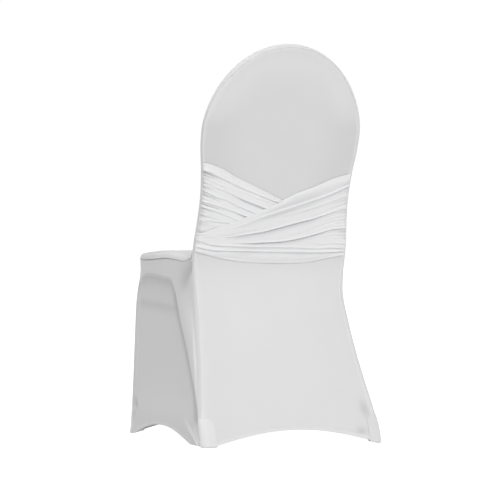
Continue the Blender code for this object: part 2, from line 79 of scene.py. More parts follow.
def curve(places, values, at):
    """A smooth curve through a short table of values."""
    places, values = np.asarray(places, float), np.asarray(values, float)
    slopes = np.empty_like(values)
    slopes[1:-1] = (values[2:] - values[:-2]) / (places[2:] - places[:-2])
    slopes[0] = (values[1] - values[0]) / (places[1] - places[0])
    slopes[-1] = (values[-1] - values[-2]) / (places[-1] - places[-2])
    at = np.clip(at, places[0], places[-1])
    row = np.clip(np.searchsorted(places, at, side="right") - 1, 0, len(places) - 2)
    width = places[row + 1] - places[row]
    share = (at - places[row]) / width
    step = share * share * (3.0 - 2.0 * share)
    rising = share * (1.0 - share) ** 2 * width * slopes[row]
    falling = share * share * (1.0 - share) * width * slopes[row + 1]
    return mix(values[row], values[row + 1], step) + rising - falling


# %% [markdown]
# ## The stretched shape
# A stretch cover takes its shape from the chair: a back that leans and ends in half an ellipse,
# four legs that spread towards the floor, and a seat. The tables give the height, the half width,
# how far back or forward the cloth lies, and the radius that rounds its corner.
# The back could also be sculpted or simulated, but tight cloth is so regular that a formula is
# truer, and it keeps the sewn edges of two pieces exactly beside each other.

# %% Outline tables
REAR = np.array([         # height, half width, depth and corner radius
    (0.0000, 0.2300, 0.2785, 0.0200),
    (0.0350, 0.2300, 0.2680, 0.0200),
    (0.0780, 0.2260, 0.2487, 0.0200),
    (0.1750, 0.2110, 0.2075, 0.0200),
    (0.2730, 0.2005, 0.1665, 0.0200),
    (0.3510, 0.1950, 0.1395, 0.0200),
    (0.4100, 0.1975, 0.1335, 0.0165),
    (0.4680, 0.1975, 0.1455, 0.0145),
    (0.5270, 0.1930, 0.1595, 0.0145),
    (0.5850, 0.1910, 0.1735, 0.0145),
    (0.6440, 0.1950, 0.1880, 0.0145),
    (0.7020, 0.2022, 0.2030, 0.0145),
    (0.7600, 0.2014, 0.2185, 0.0145),
    (0.8190, 0.1830, 0.2340, 0.0145),
    (0.8780, 0.1450, 0.2500, 0.0145),
    (0.9412, 0.0000, 0.2682, 0.0145),
])
FRONT = np.array([        # the same sizes at the front
    (0.0000, 0.2110, -0.2760, 0.0150),
    (0.0430, 0.2096, -0.2712, 0.0150),
    (0.0830, 0.2093, -0.2690, 0.0150),
    (0.1630, 0.2060, -0.2680, 0.0150),
    (0.3230, 0.2000, -0.2670, 0.0160),
    (0.3630, 0.1985, -0.2650, 0.0240),
    (0.4000, 0.1980, -0.2630, 0.0400),
    (0.4450, 0.1980, -0.2620, 0.0400),
])
TOP = 0.9412              # the rim's line at the crown
CROWN_CENTRE = 0.711      # the crown is half an ellipse round this height
CROWN_HALF_WIDTH = 0.206
CROWN_FROM = 0.760
WAIST, LEAN_OVER = 0.400, 0.060   # above the waist the rim's sections lean with the back


def profile(table, column=1):
    """One size of an outline table, as a function of its first column."""
    return lambda place: curve(table[:, 0], table[:, column], place)


rear_half_width, rear_y, rear_corner = [profile(REAR, column) for column in (1, 2, 3)]
front_half_width, front_y, front_corner = [profile(FRONT, column) for column in (1, 2, 3)]
print("width at the crown and at the floor:", *np.round(2 * rear_half_width([CROWN_FROM, 0.0]), 3))

# %% [markdown]
# ## The back and its rolled rim
# Two panels meet on the rim: the outer back comes round the corner and the inner back goes on from
# the seam. A turn of 90 degrees on the rim looks straight back, 0 straight out and -90 forward.
# `lift` moves a point off the surface, and all folds and stitches further down are lifts.

# %% Back and rim
SLOPE_STEP = 0.002


def leaning(height):
    return ease((height - WAIST) / LEAN_OVER)


def back_frame(height):
    """The back's up direction and its outward normal at each height."""
    slope = (rear_y(height + SLOPE_STEP) - rear_y(height - SLOPE_STEP)) / (2.0 * SLOPE_STEP)
    slope = slope * leaning(height)
    length, none = np.hypot(slope, 1.0), np.zeros_like(slope)
    up = np.stack([none, slope / length, 1.0 / length], axis=-1)
    return up, np.stack([none, 1.0 / length, -slope / length], axis=-1)


def outline(height):
    """Half width of the back, and the outline's outward direction across and up."""
    height = np.asarray(height, float)
    widening = rear_half_width(height + SLOPE_STEP) - rear_half_width(height - SLOPE_STEP)
    up_low = -leaning(height) * widening / (2.0 * SLOPE_STEP)
    share = np.clip((height - CROWN_CENTRE) / (TOP - CROWN_CENTRE), 0.0, 1.0)
    half_high = CROWN_HALF_WIDTH * np.sqrt(1.0 - share ** 2)
    crown = height >= CROWN_FROM
    half = np.where(crown, half_high, rear_half_width(height))
    across = np.where(crown, half_high / CROWN_HALF_WIDTH ** 2, 1.0)
    up = np.where(crown, share / (TOP - CROWN_CENTRE), up_low)
    length = np.hypot(across, up)
    return half, across / length, up / length


def rim(side, height, turn, lift=0.0):
    """Points on the rounded rim of the back, or on the corner of a rear leg."""
    side, height, turn, lift = np.broadcast_arrays(side, height, turn, lift)
    half, across, up_share = outline(height)
    radius = rear_corner(height)
    level = height - radius * up_share
    up, normal = back_frame(level)
    flat = np.stack([side * (half - radius * across), rear_y(level), level], axis=-1)
    outward = up * up_share[..., None]
    outward[..., 0] += side * across
    angle = np.radians(turn)
    roll = np.cos(angle)[..., None] * outward + np.sin(angle)[..., None] * normal
    return flat - radius[..., None] * normal + (radius + lift)[..., None] * roll


# %% [markdown]
# ## Seams of the back
# The side seams run round the rim and on down the corners of the rear legs. The cover sits a
# little twisted on its chair, so the left seam lies further round the corner than the right one.

# %% Back surface
SEAM_TURN = {1: 45.0, -1: 72.0}   # left and right
SEAM_TURN_TOP = 58.0
SEAM_TURN_BACK = 31.0             # the left seam above the seat, where the sash pulls it forward
REAR_BOW_LOW, REAR_BOW_HIGH = 0.006, 0.004
SEAM_GAP = 0.0001                 # between the edges of two pieces that are sewn together
HALF_GAP = 0.5 * SEAM_GAP


def seam_turn(side, height):
    """How far round the rim a side seam lies, in degrees."""
    shift = ease((height - CROWN_FROM) / (TOP - CROWN_FROM))
    pulled = mix(SEAM_TURN[1], SEAM_TURN_BACK, leaning(height))
    return mix(np.where(np.asarray(side) > 0, pulled, SEAM_TURN[-1]), SEAM_TURN_TOP, shift)


def rear_bow(height):
    """How far the tight cloth bulges between the posts and between the legs."""
    low = REAR_BOW_LOW * np.sin(np.pi * np.clip(height, 0.0, WAIST) / WAIST)
    high = REAR_BOW_HIGH * np.sin(np.pi * (height - WAIST) / (TOP - WAIST))
    return np.where(height < WAIST, low, high)


def on_back(across, height, lift=0.0):
    """Points of the outer back, at a distance across it from its middle line."""
    across, height, lift = np.broadcast_arrays(across, np.asarray(height, float), lift)
    half, out, up_share = outline(height)
    radius = rear_corner(height)
    flat = half - radius * out
    side = np.where(across < 0.0, -1.0, 1.0)
    round_turn = 90.0 - np.degrees((np.abs(across) - flat) / radius)
    on_rim = rim(side, height, round_turn, lift)
    share = np.where(flat > 1e-9, across / np.maximum(flat, 1e-9), 0.0)[..., None]
    left, right = rim(1.0, height, 90.0, lift), rim(-1.0, height, 90.0, lift)
    level = height - radius * up_share
    bow = rear_bow(level)[..., None] * (1.0 - share ** 2) * back_frame(level)[1]
    on_flat = mix(right, left, 0.5 + 0.5 * share) + bow
    return np.where((np.abs(across) > flat)[..., None], on_rim, on_flat)


# %% [markdown]
# ## Hems
# The lower edge arches up between the feet, because the pockets pull the cloth down at each leg.
# Rows of the grid near the floor follow the arch and straighten out higher up.

# %% Hem arches
CLOTH, POCKET_CLOTH, SASH_CLOTH = 0.0015, 0.0009, 0.0012     # thickness, with its loft
LAYER_GAP = 0.0006
HEM_WIDTH = 0.009
HEM_LIFT = CLOTH + 2.0 * LAYER_GAP
ARCH_REACH, ARCH_FULLNESS = 0.250, 1.15
REAR_ARCH = (-0.006, 0.209, 0.0335)      # centre, half span and rise
SIDE_ARCH = (-0.025, 0.210, 0.0325)
FRONT_ARCH = (0.000, 0.194, 0.0330)


def arch(shape, place):
    """The height of a hem's edge along its arch."""
    centre, half_span, rise = shape
    share = (place - centre) / half_span
    return HEM_LIFT + rise * np.maximum(0.0, 1.0 - share * share) ** ARCH_FULLNESS


def hem_lifted(height, place, shape):
    """A height that follows the arch at the floor and is itself above the arch's reach."""
    fade = np.maximum(0.0, 1.0 - height / ARCH_REACH)
    return height + (arch(shape, place) - HEM_LIFT) * fade


# %% [markdown]
# ## Sides and front corners
# Below the seat the side cloth spans from the front leg to the rear leg. It sinks in under the seat
# rail and in front of the sloping rear leg, and it is pulled into the gap between seat and back.

# %% Side surface
RAIL_HEIGHT = 0.400
LEG_LINE = np.array([             # height and depth of the rear leg's front edge
    (0.0000, 0.2580), (0.0580, 0.2370), (0.1096, 0.1995), (0.1800, 0.1370), (0.2355, 0.0910),
    (0.3000, 0.0370), (0.3620, -0.0005), (0.3800, -0.0085), (0.4300, -0.0350),
])
LEG_LINE_TOP, LEG_LINE_LEAN = 0.362, 0.80
leg_line = profile(LEG_LINE)
FIELD_CORNER, FIELD_DEPTH, FIELD_STEP, FIELD_STEP_TOP = 0.022, 0.006, 0.010, 0.026
FRONT_LEG_STEP = 0.018
FIELD_FOOT, FIELD_FADE = 0.050, 0.070
RAIL_DROP, RAIL_DROP_LENGTH = 0.009, 0.050        # the hollow's top edge falls off at the front
RAIL_FALL, RAIL_FALL_FROM, RAIL_FALL_LENGTH = 0.008, -0.160, 0.130    # and slopes down to the rear
RAIL_ZONE_FROM, RAIL_ZONE_HIGH = 0.345, 0.035     # above this the seat rail lies behind the cloth
TUCK_DEPTH, TUCK_WIDTH = 0.004, 0.010
TUCK_TOP, TUCK_FOOT = (0.104, 0.430), (0.112, 0.376)


def front_rim(side, height, turn, lift=0.0):
    """Points on the rounded corner at a front leg, or at the front of the seat."""
    side, height, turn, lift = np.broadcast_arrays(side, height, turn, lift)
    radius, angle = front_corner(height), np.radians(turn)
    across = front_half_width(height) - radius + (radius + lift) * np.cos(angle)
    depth = front_y(height) + radius + (radius + lift) * np.sin(angle)
    return np.stack([side * across, depth, height], axis=-1)


def side_ends(height):
    """Depths at which the side's flat stretch begins, at the rear and at the front."""
    return rear_y(height) - rear_corner(height), front_y(height) + front_corner(height)


def past_leg_line(depth, height):
    """How far a point lies in front of the rear leg's sloping line."""
    return LEG_LINE_LEAN * (leg_line(height) - depth)


def into_field(depth, height):
    """How far a point lies inside the sunk field, round its soft upper corner."""
    near_front = (side_ends(height)[1] + RAIL_DROP_LENGTH - depth) / RAIL_DROP_LENGTH
    rail = RAIL_HEIGHT - RAIL_DROP * ease(near_front) ** 2
    rail = rail - RAIL_FALL * ease((depth - RAIL_FALL_FROM) / RAIL_FALL_LENGTH)
    past_leg, below_rail = past_leg_line(depth, height), rail - height
    share = np.clip(0.5 + 0.5 * (past_leg - below_rail) / FIELD_CORNER, 0.0, 1.0)
    return mix(past_leg, below_rail, share) - FIELD_CORNER * share * (1.0 - share)


def under_rail(height):
    """1 where the seat rail lies behind the cloth, 0 well below it."""
    return ease((height - RAIL_ZONE_FROM) / RAIL_ZONE_HIGH)


def side_dip(depth, height):
    """How far the side cloth is pulled in: under the seat rail, and behind the seat."""
    rear, front = side_ends(height)
    step = mix(FIELD_STEP, FIELD_STEP_TOP, under_rail(height))
    field = FIELD_DEPTH * ease(into_field(depth, height) / step)
    field = field * ease((depth - front) / FRONT_LEG_STEP) * ease((height - FIELD_FOOT) / FIELD_FADE)
    down = (height - TUCK_FOOT[1]) / (TUCK_TOP[1] - TUCK_FOOT[1])
    middle = mix(TUCK_FOOT[0], TUCK_TOP[0], down)
    tuck = TUCK_DEPTH * hump(depth - middle, TUCK_WIDTH) * ease(down)
    return field + tuck * ease((rear - depth) / TUCK_WIDTH)


def on_side(side, depth, height, lift=0.0):
    """Points of the side's flat stretch, between the two legs."""
    side, depth, height, lift = np.broadcast_arrays(side, depth, height, lift)
    rear, front = side_ends(height)
    share = (rear - depth) / (rear - front)
    across = mix(rear_half_width(height), front_half_width(height), share)
    across = across - side_dip(depth, height) + lift
    return np.stack([side * across, depth, height], axis=-1)


# %% [markdown]
# ## From a grid of points to a piece of cloth
# Each piece is one grid of points on the cloth's face. Points that coincide, as at the tip of the
# crown, become one. The UV map holds distances on the cloth in metres, so that a knit drawn with it
# has the same stitch size on every piece. Blender's Solidify modifier then gives the thickness
# inwards, which keeps the face exactly where it was put.
# Each point also keeps a tone. Part of it is its backing, since what lies behind thin white cloth
# shows through it: -1 over another layer of cloth, 0 over the chair's pale pads, 1 over an empty
# hollow. Much of it is painted shade and painted light as well: painted shade in creases, dents,
# beside edges and on the sides, and painted light on crests and on faces that turn to the light.

# %% Cloth maker
def lengths_along(grid, axis):
    """Distances along a path, or along the rows or columns of a grid, starting at 0."""
    steps = np.linalg.norm(np.diff(grid, axis=axis), axis=-1)
    start = np.zeros_like(np.take(steps, [0], axis=axis))
    return np.concatenate([start, np.cumsum(steps, axis=axis)], axis=axis)


def flat_map(grid):
    """Where each point lies on the flat cloth, measured from the middle column and the first row."""
    across, along = lengths_along(grid, 1), lengths_along(grid, 0)
    middle = grid.shape[1] // 2
    across = across - across[:, middle:middle + 1]
    return np.stack([across, np.repeat(along[:, middle:middle + 1], grid.shape[1], axis=1)], axis=-1)


def corners_of(values):
    """The values at the four corners of each square of a grid."""
    return np.stack([values[:-1, :-1], values[:-1, 1:], values[1:, 1:], values[1:, :-1]], axis=2)


def new_object(name, data):
    made = bpy.data.objects.new(name, data)
    bpy.context.scene.collection.objects.link(made)
    return made


def new_piece(name, points, faces, material):
    mesh = bpy.data.meshes.new(name)
    mesh.from_pydata(points, [], faces)
    mesh.shade_smooth()
    mesh.materials.append(material)
    return new_object(name, mesh)


def cloth(node, grid, finish, outward=True, backing_and_painted_shade=0.0, name=None):
    """One sheet of cloth from the grid of its face, rows upwards and columns left to right. It
    rides on the cover, stands for its CAD solid and takes that solid's finish."""
    name, (material, thickness) = (name or node) + "_cloth", KNITS[finish]
    points, first, same = np.unique(
        np.round(grid.reshape(-1, 3), 6), axis=0, return_index=True, return_inverse=True
    )
    index = same.reshape(grid.shape[:2])
    quads = corners_of(index).reshape(-1, 4)
    places = corners_of(flat_map(grid)).reshape(-1, 4, 2)
    if not outward:
        quads, places = quads[:, ::-1], places[:, ::-1]
    faces, loops = [], []
    for quad, place in zip(quads.tolist(), places.tolist()):
        kept = [k for k in range(4) if quad[k] != quad[k - 1]]
        if len(kept) >= 3 and len({quad[k] for k in kept}) == len(kept):
            faces.append([quad[k] for k in kept])
            loops += [place[k] for k in kept]
    piece = new_piece(name, grid.reshape(-1, 3)[first].tolist(), faces, material)
    layer = piece.data.uv_layers.new(name="cloth_metres")
    layer.uv.foreach_set("vector", np.array(loops, np.float32).ravel())
    # The point attribute carries each point's backing together with its painted shade and light.
    behind = np.broadcast_to(backing_and_painted_shade, grid.shape[:2]).reshape(-1)[first].astype(np.float32)
    piece.data.attributes.new("backing_and_painted_shade", "FLOAT", "POINT").data.foreach_set("value", behind)
    solid = piece.modifiers.new("thickness", "SOLIDIFY")
    solid.thickness, solid.offset = thickness, -1.0
    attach(piece, "root")
    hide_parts(node)
    print(f"{name}: {len(points)} points, {len(faces)} faces")
    return piece


# %% [markdown]
# ## Materials: three weights of polyester-elastane knit
# The body is a smooth white warp knit, polyester with some elastane, which gives a soft sheen and
# no visible thread from afar. The foot pockets are the same knit in two layers, so less shadow
# shows through them and they look whiter. The sash is a finer, brighter knit.
# Polyester has an index of refraction near 1.55 and a cloth of it is rough, about 0.6 to 0.8.
# The knit's columns, its wales, are 0.4 mm apart on the real cloth. They are drawn 1.6 mm apart,
# because anything finer would not show, and their bump is kept shallow.


# %% Colours and nodes
def linear(hex_colour):
    """A colour as Blender wants it, from its sRGB hex value."""
    shares = [int(hex_colour[k:k + 2], 16) / 255.0 for k in (1, 3, 5)]
    light = [s / 12.92 if s <= 0.04045 else ((s + 0.055) / 1.055) ** 2.4 for s in shares]
    return (*light, 1.0)


def set_up(material, node, settings, links):
    """Sets a node's options and unlinked sockets, and joins the sockets named in links."""
    for key, value in settings.items():
        if isinstance(key, str) and hasattr(node, key):
            setattr(node, key, value)
        else:
            node.inputs[key].default_value = value
    for key, source in links.items():
        material.node_tree.links.new(source, node.inputs[key])


def add_node(material, kind, settings, links, output=None):
    """Adds a node with its settings and links, and gives it back, or the output that is named."""
    made = material.node_tree.nodes.new(kind)
    set_up(material, made, settings, links)
    return made if output is None else made.outputs[output]


def new_material(name):
    material = bpy.data.materials.new(name)
    material.use_nodes = True
    return material, material.node_tree.nodes["Principled BSDF"]


# %% Knit
POLYESTER_IOR = 1.55
WALE_SPACING = 0.0016     # drawn four times as coarse as the real 0.4 mm
COURSE_SPACING = 0.0022
WAVE_LENGTH = 0.314       # of a wave texture whose scale is 1


def knit(name, doubled, single, hollow, roughness, rib, sheen):
    """Warp knit: a colour from its backing and painted shade, wales and courses as bump, and a sheen.
    """
    material, surface = new_material(name)
    metres = add_node(material, "ShaderNodeUVMap", {"uv_map": "cloth_metres"}, {}, "UV")
    place = add_node(material, "ShaderNodeTexCoord", {}, {}, "Object")
    wales, courses = [
        add_node(material, "ShaderNodeTexWave",
                 {"wave_type": "BANDS", "bands_direction": axis, "Scale": WAVE_LENGTH / spacing,
                  "Distortion": distortion, "Detail": 1.0, "Detail Scale": 0.5},
                 {"Vector": metres}, "Fac")
        for axis, spacing, distortion in (("X", WALE_SPACING, 0.6), ("Y", COURSE_SPACING, 0.8))
    ]
    loops = add_node(material, "ShaderNodeMath", {"operation": "MULTIPLY"},
                     {0: wales, 1: courses}, "Value")
    cloud = add_node(material, "ShaderNodeTexNoise",
                     {"Scale": 14.0, "Detail": 4.0, "Roughness": 0.55}, {"Vector": place}, "Fac")
    behind = add_node(material, "ShaderNodeAttribute",
                      {"attribute_type": "GEOMETRY", "attribute_name": "backing_and_painted_shade"}, {}, "Fac")
    share = add_node(material, "ShaderNodeMapRange", {"From Min": -1.0, "From Max": 1.0},
                     {"Value": behind}, "Result")
    ramp = add_node(material, "ShaderNodeValToRGB", {}, {"Fac": share})
    # The ramp runs from doubled cloth through single cloth to the darkest colour, used for painted
    # shade.
    stops = ramp.color_ramp.elements
    stops[0].color, stops[1].color = linear(doubled), linear(hollow)
    stops.new(0.5).color = linear(single)
    faint = add_node(material, "ShaderNodeMapRange", {"To Min": 0.975, "To Max": 1.0},
                     {"Value": cloud}, "Result")
    colour = ramp.outputs["Color"]
    for strength, pattern in ((1.0, faint), (0.05, loops)):
        colour = add_node(material, "ShaderNodeMix",
                          {"data_type": "RGBA", "blend_type": "MULTIPLY", "Factor": strength},
                          {6: colour, 7: pattern}, 2)
    gloss = add_node(material, "ShaderNodeMapRange",
                     {"To Min": roughness - 0.06, "To Max": roughness + 0.06},
                     {"Value": cloud}, "Result")
    relief = add_node(material, "ShaderNodeBump", {"Strength": rib, "Distance": 0.0003},
                      {"Height": loops}, "Normal")
    set_up(material, surface,
           {"IOR": POLYESTER_IOR, "Sheen Weight": sheen, "Sheen Roughness": 0.45,
            "Specular IOR Level": 0.35},
           {"Base Color": colour, "Roughness": gloss, "Normal": relief})
    print("material:", name)
    return material


# Colours of each knit: over doubled cloth, single cloth, and the darkest, used for painted shade.
KNITS = {
    slot: (knit(*finish), thickness) for slot, thickness, *finish in (
        ("body_knit", CLOTH, "white_polyester_elastane_warp_knit",
         "#ECECED", "#E4E4E5", "#C6C6C8", 0.68, 0.35, 0.20),
        ("pocket_knit", POCKET_CLOTH, "doubled_polyester_elastane_knit",
         "#F1F1F2", "#EDEDEE", "#DEDEDF", 0.70, 0.45, 0.20),
        ("sash_knit", SASH_CLOTH, "fine_polyester_elastane_sash_knit",
         "#F7F7F8", "#F0F0F1", "#B8B8BB", 0.60, 0.25, 0.25),
    )
}

# %% [markdown]
# ## Seams, hems and slight unevenness
# Where two panels are sewn edge to edge, the allowances inside push the cloth up beside the seam
# and the thread pulls it down in the seam itself. A hem is the cloth turned up and stitched with
# twin needles: it stands a little proud, with a groove where each row of stitches bites.
# All of these are lifts of a fraction of a millimetre, made in the mesh and not only in a bump.

# %% Seam and hem relief
SEAM_STEPS = np.array([
    0.0, 0.0005, 0.0010, 0.0016, 0.0022, 0.0029, 0.0037, 0.0047, 0.0059, 0.0075, 0.0095, 0.0120,
])
HEM_STEPS = np.array([
    0.0, 0.0004, 0.0010, 0.0018, 0.0028, 0.0040, 0.0052, 0.0060, 0.0066, 0.0072, 0.0078,
    0.0084, 0.0090, 0.0097, 0.0105, 0.0115, 0.0130,
])
STITCH_ROWS = (0.0066, 0.0084)    # the twin needles, above the hem's edge
NEEDLE_BITE, NEEDLE_WIDTH = 0.0004, 0.0007
HEM_RISE = 0.0007
SEAM_RIDGE, SEAM_RIDGE_AT, SEAM_RIDGE_WIDTH = 0.0012, 0.0010, 0.0024
SEAM_DIP, SEAM_DIP_WIDTH = 0.0002, 0.0006


def seam_roll(distance):
    """The lift beside a seam, at a distance from it."""
    ridge = SEAM_RIDGE * hump(distance - SEAM_RIDGE_AT, SEAM_RIDGE_WIDTH)
    return ridge - SEAM_DIP * hump(distance, SEAM_DIP_WIDTH)


def layers_behind(seam_distance, hem_distance):
    """The backing beside a seam, where allowances lie inside, and in a turned hem."""
    hem = 1.0 - ease((hem_distance - HEM_WIDTH) / 0.0012)
    return -np.maximum(0.9 * hump(seam_distance, 0.0032), 0.8 * hem)


def hem_roll(distance):
    """The lift of a turned hem, at a distance above its edge."""
    band = HEM_RISE * (1.0 - ease((distance - HEM_WIDTH) / 0.0015)) * ease(distance / 0.0012)
    return band - NEEDLE_BITE * sum(hump(distance - row, NEEDLE_WIDTH) for row in STITCH_ROWS)


def unevenness(across, height, seed):
    """Broad, very low waves, as in any cloth that was pulled on by hand."""
    waves = np.random.default_rng(seed)
    total = np.zeros(np.broadcast(across, height).shape)
    for _ in range(7):
        turn, length = waves.uniform(0.0, math.pi), waves.uniform(0.07, 0.20)
        phase, size = waves.uniform(0.0, 2.0 * math.pi), waves.uniform(0.00004, 0.00012)
        along = across * math.cos(turn) + height * math.sin(turn)
        total = total + size * np.sin(2.0 * math.pi * along / length + phase)
    return total


# %% [markdown]
# ## Stitches
# The hems and the patches are sewn with white polyester thread, two needles side by side. Each
# stitch that lies on top is a small pointed bead of thread, 2 mm long, along a row of the cloth's
# own grid. Beads are enough here: they catch the light as thread does and cost eight triangles.

# %% Sewing thread
THREAD_TWIST = 0.0004


def sewing_thread():
    """Spun polyester thread: its twist is a fine diagonal wave, 0.4 mm from turn to turn."""
    material, surface = new_material("white_spun_polyester_thread")
    place = add_node(material, "ShaderNodeTexCoord", {}, {}, "Object")
    twist = add_node(material, "ShaderNodeTexWave",
                     {"wave_type": "BANDS", "bands_direction": "DIAGONAL",
                      "Scale": WAVE_LENGTH / THREAD_TWIST},
                     {"Vector": place}, "Fac")
    ramp = add_node(material, "ShaderNodeValToRGB", {}, {"Fac": twist})
    for stop, colour in zip(ramp.color_ramp.elements, ("#E2E2E3", "#F0F0F1")):
        stop.color = linear(colour)
    gloss = add_node(material, "ShaderNodeMapRange", {"To Min": 0.50, "To Max": 0.62},
                     {"Value": twist}, "Result")
    relief = add_node(material, "ShaderNodeBump", {"Strength": 0.3, "Distance": 0.0001},
                      {"Height": twist}, "Normal")
    set_up(material, surface, {"IOR": POLYESTER_IOR, "Sheen Weight": 0.15},
           {"Base Color": ramp.outputs["Color"], "Roughness": gloss, "Normal": relief})
    return material


thread = sewing_thread()

# %% Stitches
STITCH_LENGTH, STITCH_PITCH = 0.0021, 0.0031
STITCH_WIDTH, STITCH_RISE = 0.00050, 0.00032


def hem_rows(grid, outward=True):
    """The two needle rows of a hem: points on the cloth and the directions out of it."""
    out = np.cross(np.gradient(grid, axis=1), np.gradient(grid, axis=0)) * (1.0 if outward else -1.0)
    out = out / np.maximum(np.linalg.norm(out, axis=-1, keepdims=True), 1e-12)
    rows = [int(np.argmin(np.abs(HEM_STEPS - place))) for place in STITCH_ROWS]
    return [(grid[row], out[row]) for row in rows]


def stitches(name, paths):
    """Beads of thread along each path. A path holds its points and the directions out of it."""
    points, faces = [], []
    for path, outward in paths:
        along = lengths_along(path, 0)
        for start in np.arange(0.5 * STITCH_PITCH, along[-1] - STITCH_LENGTH, STITCH_PITCH):
            places = start + STITCH_LENGTH * np.array([0.0, 0.5, 1.0])
            first, middle, last = np.stack([np.interp(places, along, path[:, k]) for k in range(3)], 1)
            out = np.array([np.interp(places[1], along, outward[:, k]) for k in range(3)])
            side = np.cross(last - first, out)
            side = 0.5 * STITCH_WIDTH * side / np.linalg.norm(side)
            k = len(points)
            points += [first, middle + side, middle + STITCH_RISE * out, middle - side,
                       middle - 0.3 * STITCH_RISE * out, last]
            for a, b in ((1, 2), (2, 3), (3, 4), (4, 1)):
                faces += [(k, k + a, k + b), (k + 5, k + b, k + a)]
    beads = new_piece(name, [tuple(p) for p in points], faces, thread)
    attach(beads, "root")
    print(f"{name}: {len(faces) // 8} stitches")
    return beads


# %% [markdown]
# ## Outer back
# One panel of cloth runs from the rear hem, over the waist, to the tip of the round crown. Its
# columns close up near the side seams, where the seam ridge needs them, and its rows close up at
# the hem and at the crown's tip, where the outline turns fastest.

# %% Outer back
PAD_FOOT = 0.480                          # the chair's pad ends at this height, and the painted tone changes there
UPPER_BACK_PAINTED_SHADE, LOWER_BACK_PAINTED_LIGHT = 0.04, -0.50        # painted shade over the pad, and painted light below it, as the light falls on the back
EDGE_SHADE, CROWN_LIGHT = 0.24, 0.55      # painted shade beside the side edges, and painted light in a band along the crown
ROW_PITCH, BACK_COLUMNS = 0.0036, 96
TIP_TURNS = np.array([5.0, 4.0, 3.1, 2.3, 1.6, 1.0, 0.5, 0.2, 0.0])    # degrees from the tip
FOOT_DENTS = (      # dents over the right foot, with painted shade: place from the seam, height and half sizes
    (0.018, 0.080, 0.014, 0.025),
    (0.040, 0.029, 0.018, 0.012),
)
DENT_DEPTH, DENT_SHADE = 0.0014, 0.85
EDGE_REACH, CROWN_BAND = 0.130, (0.028, 0.026)
CROWN_LIGHT_FROM, CROWN_LIGHT_FADE = 0.740, 0.100
TIP_FADE = 0.030          # the unevenness dies away over this height below the tip
NARROW_SPAN = 0.030       # near the tip the columns beside the seams close up


def back_heights():
    """The rows of the outer back: close together at the hem and at the crown's tip."""
    hem = HEM_LIFT + HEM_STEPS
    sides = np.arange(hem[-1] + 0.003, CROWN_FROM, ROW_PITCH)
    start = math.degrees(math.asin((CROWN_FROM - CROWN_CENTRE) / (TOP - CROWN_CENTRE)))
    angles = np.concatenate([np.arange(start, 84.0, 1.0), 90.0 - TIP_TURNS])
    crown = CROWN_CENTRE + (TOP - CROWN_CENTRE) * np.sin(np.radians(angles))
    return np.concatenate([hem, sides, crown])


def seam_places(height):
    """Columns of places across the back where its cloth ends: at the left seam, at the right."""
    half, out, _ = outline(height)
    radius = rear_corner(height)
    flat = half - radius * out - HALF_GAP
    return [side * (flat + radius * np.radians(90.0 - seam_turn(side, height)))[:, None]
            for side in (1, -1)]


def across_back(left, right, steps, count):
    """Places from the left seam to the right one, close together beside both, and how far each
    lies from the left seam and from the right seam."""
    from_left, from_right = left - steps, right + steps
    middle = between(from_left[:, -1:], from_right[:, -1:], count)[:, :-1]
    across = np.concatenate([from_left, middle, from_right[:, ::-1]], axis=1)
    return across, left - across, across - right


def outer_back():
    height = back_heights()
    left, right = seam_places(height)
    steps = SEAM_STEPS * np.minimum(1.0, left / NARROW_SPAN)
    across, from_left, from_right = across_back(left, right, steps, BACK_COLUMNS)
    level = hem_lifted(height[:, None], across, REAR_ARCH)
    above, beside = height[:, None] - HEM_LIFT, np.minimum(from_left, from_right)
    lift = seam_roll(from_left) + seam_roll(from_right) + hem_roll(above)
    lift = lift + unevenness(across, level, 11) * ease((TOP - height[:, None]) / TIP_FADE)
    dents = sum(hump(from_right - place, wide) * hump(level - centre, high)
                for place, centre, wide, high in FOOT_DENTS)
    lift = lift - DENT_DEPTH * dents * ease(from_right / 0.008)
    crown = ease((level - CROWN_LIGHT_FROM) / CROWN_LIGHT_FADE)
    from_tip = np.maximum(TOP - level, 1e-6)
    to_edge = beside * from_tip / np.hypot(beside, from_tip)
    # Painted tone: a touch of shade over the pad, light below it, shade beside the edges, light along
    # the crown, shade in the dents.
    behind = mix(UPPER_BACK_PAINTED_SHADE, LOWER_BACK_PAINTED_LIGHT, ease((PAD_FOOT - level) / 0.08))
    behind = behind + (1.0 - crown) * EDGE_SHADE * ease(1.0 - beside / EDGE_REACH)
    behind = behind - crown * CROWN_LIGHT * hump(to_edge - CROWN_BAND[0], CROWN_BAND[1])
    behind = behind + DENT_SHADE * dents
    return on_back(across, level, lift), np.clip(layers_behind(beside, above) + behind, -1.0, 1.0)


grid, backing_and_painted_shade = outer_back()
back_panel = cloth("back_panel", grid, "body_knit", backing_and_painted_shade=backing_and_painted_shade)
back_stitches = stitches("back_hem_stitches", hem_rows(grid))

# %% [markdown]
# ## Inner back
# The sitter's side of the back: from the seam it goes on round the rim, and then spans the front
# of the chair's back in one gentle bow.

# %% Inner back
INNER_FOOT = 0.430
INNER_BOW, INNER_BOW_FROM = 0.010, 0.460
LEAST_TURN = 4.0          # degrees between the last close turn and the corner's end
SPAN_COLUMNS = 92


def turns_from(seam, radius, end, count, away=-1.0):
    """Turns round a corner from a seam to `end`, close together beside the seam, and how far each
    of them lies from the seam."""
    seam = seam + away * np.degrees(HALF_GAP / radius)
    near = seam + away * np.degrees(SEAM_STEPS[None, :] / radius)
    near = near[:, away * (end - near[0]) > LEAST_TURN]
    turn = np.concatenate([near, between(near[:, -1:], end, count)], axis=1)
    return turn, away * np.radians(turn - seam) * radius


